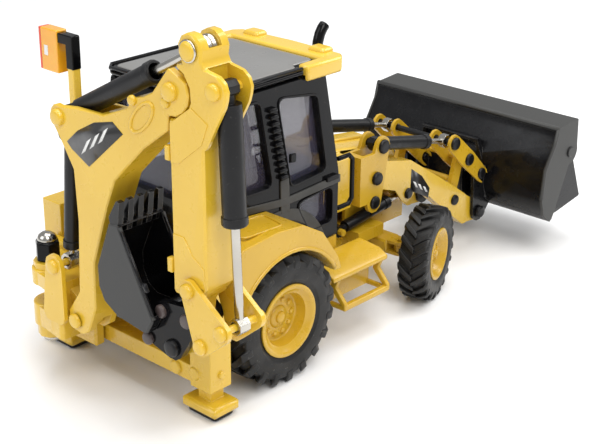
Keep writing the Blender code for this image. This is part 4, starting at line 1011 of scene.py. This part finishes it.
def kingpost():
    """A black nut on the swing pin, the pin's bright dome, and the casting's round bosses."""
    king = pivot("backhoe_swing", "z")
    bm = bmesh.new()
    nut = [(2.3, 0.0), (2.3, 3.3), (2.0, 3.6), (0.0, 3.6)]
    turned(bm, [(0.0, 0.0)] + nut, 6, along("z", king, 22.6))
    obj = piece("kingpost_nut", bm, "black", "carriage", 0.3, 25.0)
    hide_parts("kingpost_pin")
    bm = bmesh.new()
    shaft = [(0.0, 7.0), (1.8, 7.0), (1.8, 7.8), (1.0, 7.8), (1.0, 26.1), (1.75, 26.1), (1.75, 26.5)]
    shaft += [(1.5, 27.1), (0.9, 27.55), (0.0, 27.7)]
    turned(bm, shaft, 28, along("z", king, 0.0))
    piece("kingpost_shaft", bm, "steel", "carriage", 0.0)
    bm = bmesh.new()
    for low, high, radius in ((10.3, 14.5, 3.15), (18.3, 21.1, 3.05)):
        ring = [(1.3, low), (radius, low), (radius, high), (radius - 0.3, high + 0.2), (1.3, high + 0.2)]
        turned(bm, ring, 36, along("z", king, 0.0))
    piece("casting_bosses", bm, "yellow", "swing_casting", 0.12)


def stabilisers():
    """A rubber sole under each foot, the bolt heads on the rear frame and its red reflectors."""
    for side, tag in SIDES:
        bm = bmesh.new()
        sole = [(-19.15, 15.85), (-14.45, 15.85), (-14.45, 22.75), (-19.15, 22.75)]
        outline = [(a, side * b) for a, b in (sole if side > 0 else sole[::-1])]
        slab(bm, "z", rounded(outline, 0.8), (0.25, 0.95))
        piece(f"foot_sole_{tag}", bm, "rubber", f"stabiliser_{tag}", 0.1)
    bm = bmesh.new()
    for y in (-13.4, 13.4):
        turned(bm, head_profile(1.3, 0.6), 22, along("x", (y, 7.6), -19.2, -1))
        turned(bm, head_profile(0.9, 0.5), 22, along("x", (y, 20.5), -19.2, -1))
    for side in (-1, 1):
        for z in (8.2, 26.6):
            turned(bm, head_profile(0.7, 0.45), 16, along("y", (-16.7, z), side * 21.9, side))
    piece("rear_frame_bolts", bm, "yellow", "chassis", 0.0)
    bm = bmesh.new()
    for side in (-1, 1):
        middle = side * 17.6
        block(bm, (-19.5, -19.1), (middle - 0.7, middle + 0.7), (17.2, 18.4))
    piece("tail_reflectors", bm, "red", "chassis", 0.05)


def loader_bucket_detail():
    """A rolled lip along the bucket's top and ends, ribs on its back, and the split bucket's pins."""
    half = edges_of("loader_bucket")[1].y
    bm = bmesh.new()
    rope(bm, [(81.0, -half + 0.1, 28.9), (81.0, half - 0.1, 28.9)], 0.55, 12)
    for side in (-1, 1):
        face = side * half
        level = face - side * 0.25
        rope(bm, [(76.4, level, 14.0), (77.0, level, 20.5), (80.0, level, 25.4), (80.9, level, 28.9)], 0.4)
    piece("bucket_lip", bm, "bucket", "loader_bucket", 0.0)
    ends = both_ways(0.0, edges_of("bucket_clam")[1].y - 0.26)
    pin_heads("clam_heads", "satin", "bucket_clam", "y", pivot("clam_open", "y"), ends, 1.1, 0.2)
    bm = bmesh.new()
    for y in (-12.0, 12.0):
        slab(bm, "y", [(77.9, 19.6), (78.6, 19.4), (81.4, 24.8), (81.0, 25.2)], (y - 0.4, y + 0.4))
    for side in (-1, 1):
        cap = rounded([(76.9, 10.4), (79.0, 10.0), (79.8, 14.6), (77.2, 15.0)], 0.5)
        slab(bm, "y", cap, (side * 9.6, side * 9.9))
    piece("bucket_ribs", bm, "bucket", "loader_bucket", 0.15)


def digging_bucket_detail():
    """Wear strips and tabs on the bucket's sides."""
    bm = bmesh.new()
    for way in (-1, 1):
        face = DIG_X + way * 4.62
        rope(bm, [(face, -13.9, 37.4), (face, -21.4, 23.6)], 0.32, 8)
        tab = rounded([(-20.6, 28.2), (-19.6, 28.0), (-18.9, 29.4), (-19.9, 29.6)], 0.3)
        slab(bm, "x", tab, (face, face + way * 0.34))
    piece("bucket_side_strips", bm, "bucket", "digging_bucket", 0.0)


# ----------------------------------------------------------------- stage


def floor_plane():
    """A pale paper floor."""
    bm = bmesh.new()
    bmesh.ops.create_grid(bm, x_segments=2, y_segments=2, size=2.5)
    mesh = bpy.data.meshes.new("floor")
    bm.to_mesh(mesh)
    bm.free()
    floor = bpy.data.objects.new("floor", mesh)
    bpy.context.scene.collection.objects.link(floor)
    paper = surface("floor_paper", (0.93, 0.93, 0.93), (0.91, 0.91, 0.912), rough=0.75, grain=0.8, bump=0.02)
    floor.data.materials.append(paper)


def soft_light(aim):
    """A pale sky and four large square lamps. Each lamp's place is from the aim."""
    world = bpy.data.worlds.new("studio")
    bpy.context.scene.world = world
    world.use_nodes = True
    sky = world.node_tree.nodes["Background"]
    sky.inputs["Color"].default_value = (0.97, 0.98, 1.0, 1.0)
    sky.inputs["Strength"].default_value = 0.45
    # Name, place, side length, power and colour.
    lamps = [
        ("key", (-150, -330, 420), 300, 1.7, (1.0, 0.985, 0.96)),
        ("fill", (-420, 160, 300), 320, 0.8, (0.95, 0.97, 1.0)),
        ("front", (380, -160, 330), 260, 0.9, (1.0, 0.99, 0.97)),
        ("top", (40, 30, 480), 360, 1.5, (1.0, 1.0, 1.0)),
    ]
    for name, place, size, power, colour in lamps:
        light = bpy.data.lights.new(name, "AREA")
        light.shape = "SQUARE"
        light.size = size * MM
        light.energy = power
        light.color = colour
        lamp = bpy.data.objects.new(name, light)
        bpy.context.scene.collection.objects.link(lamp)
        lamp.location = aim + Vector(place) * MM
        lamp.rotation_euler = (aim - lamp.location).to_track_quat("-Z", "Y").to_euler()


def photo_camera(aim):
    """A camera behind the machine's right side, at the photograph's angle."""
    azimuth, depression, roll = math.radians(42.5), math.radians(22.8), math.radians(0.4)
    distance = 250
    ahead = Vector((
        math.cos(azimuth) * math.cos(depression),
        math.sin(azimuth) * math.cos(depression),
        -math.sin(depression),
    ))
    lens = bpy.data.cameras.new("camera")
    lens.lens = 80.5
    lens.sensor_width = 36.0
    lens.clip_start = 0.01
    camera = bpy.data.objects.new("camera", lens)
    bpy.context.scene.collection.objects.link(camera)
    camera.matrix_world = (
        Matrix.Translation(aim - ahead * distance * MM)
        @ ahead.to_track_quat("-Z", "Y").to_matrix().to_4x4()
        @ Matrix.Rotation(roll, 4, "Z")
    )
    bpy.context.scene.camera = camera
    bpy.context.scene.view_settings.view_transform = "Standard"


def build():
    """Makes every piece, then the studio round them."""
    paint_frame()
    wheels()
    backhoe_pins()
    loader_pins()
    decals()
    boom_detail()
    stick_detail()
    cab_detail()
    driver_seat()
    cab_controls()
    roof_detail()
    hood_detail()
    fender_detail()
    steps()
    tail_lamps()
    exhaust_detail()
    kingpost()
    stabilisers()
    loader_bucket_detail()
    digging_bucket_detail()
    aim = at(14.3, -11.5, 24.0)
    floor_plane()
    soft_light(aim)
    photo_camera(aim)


build()
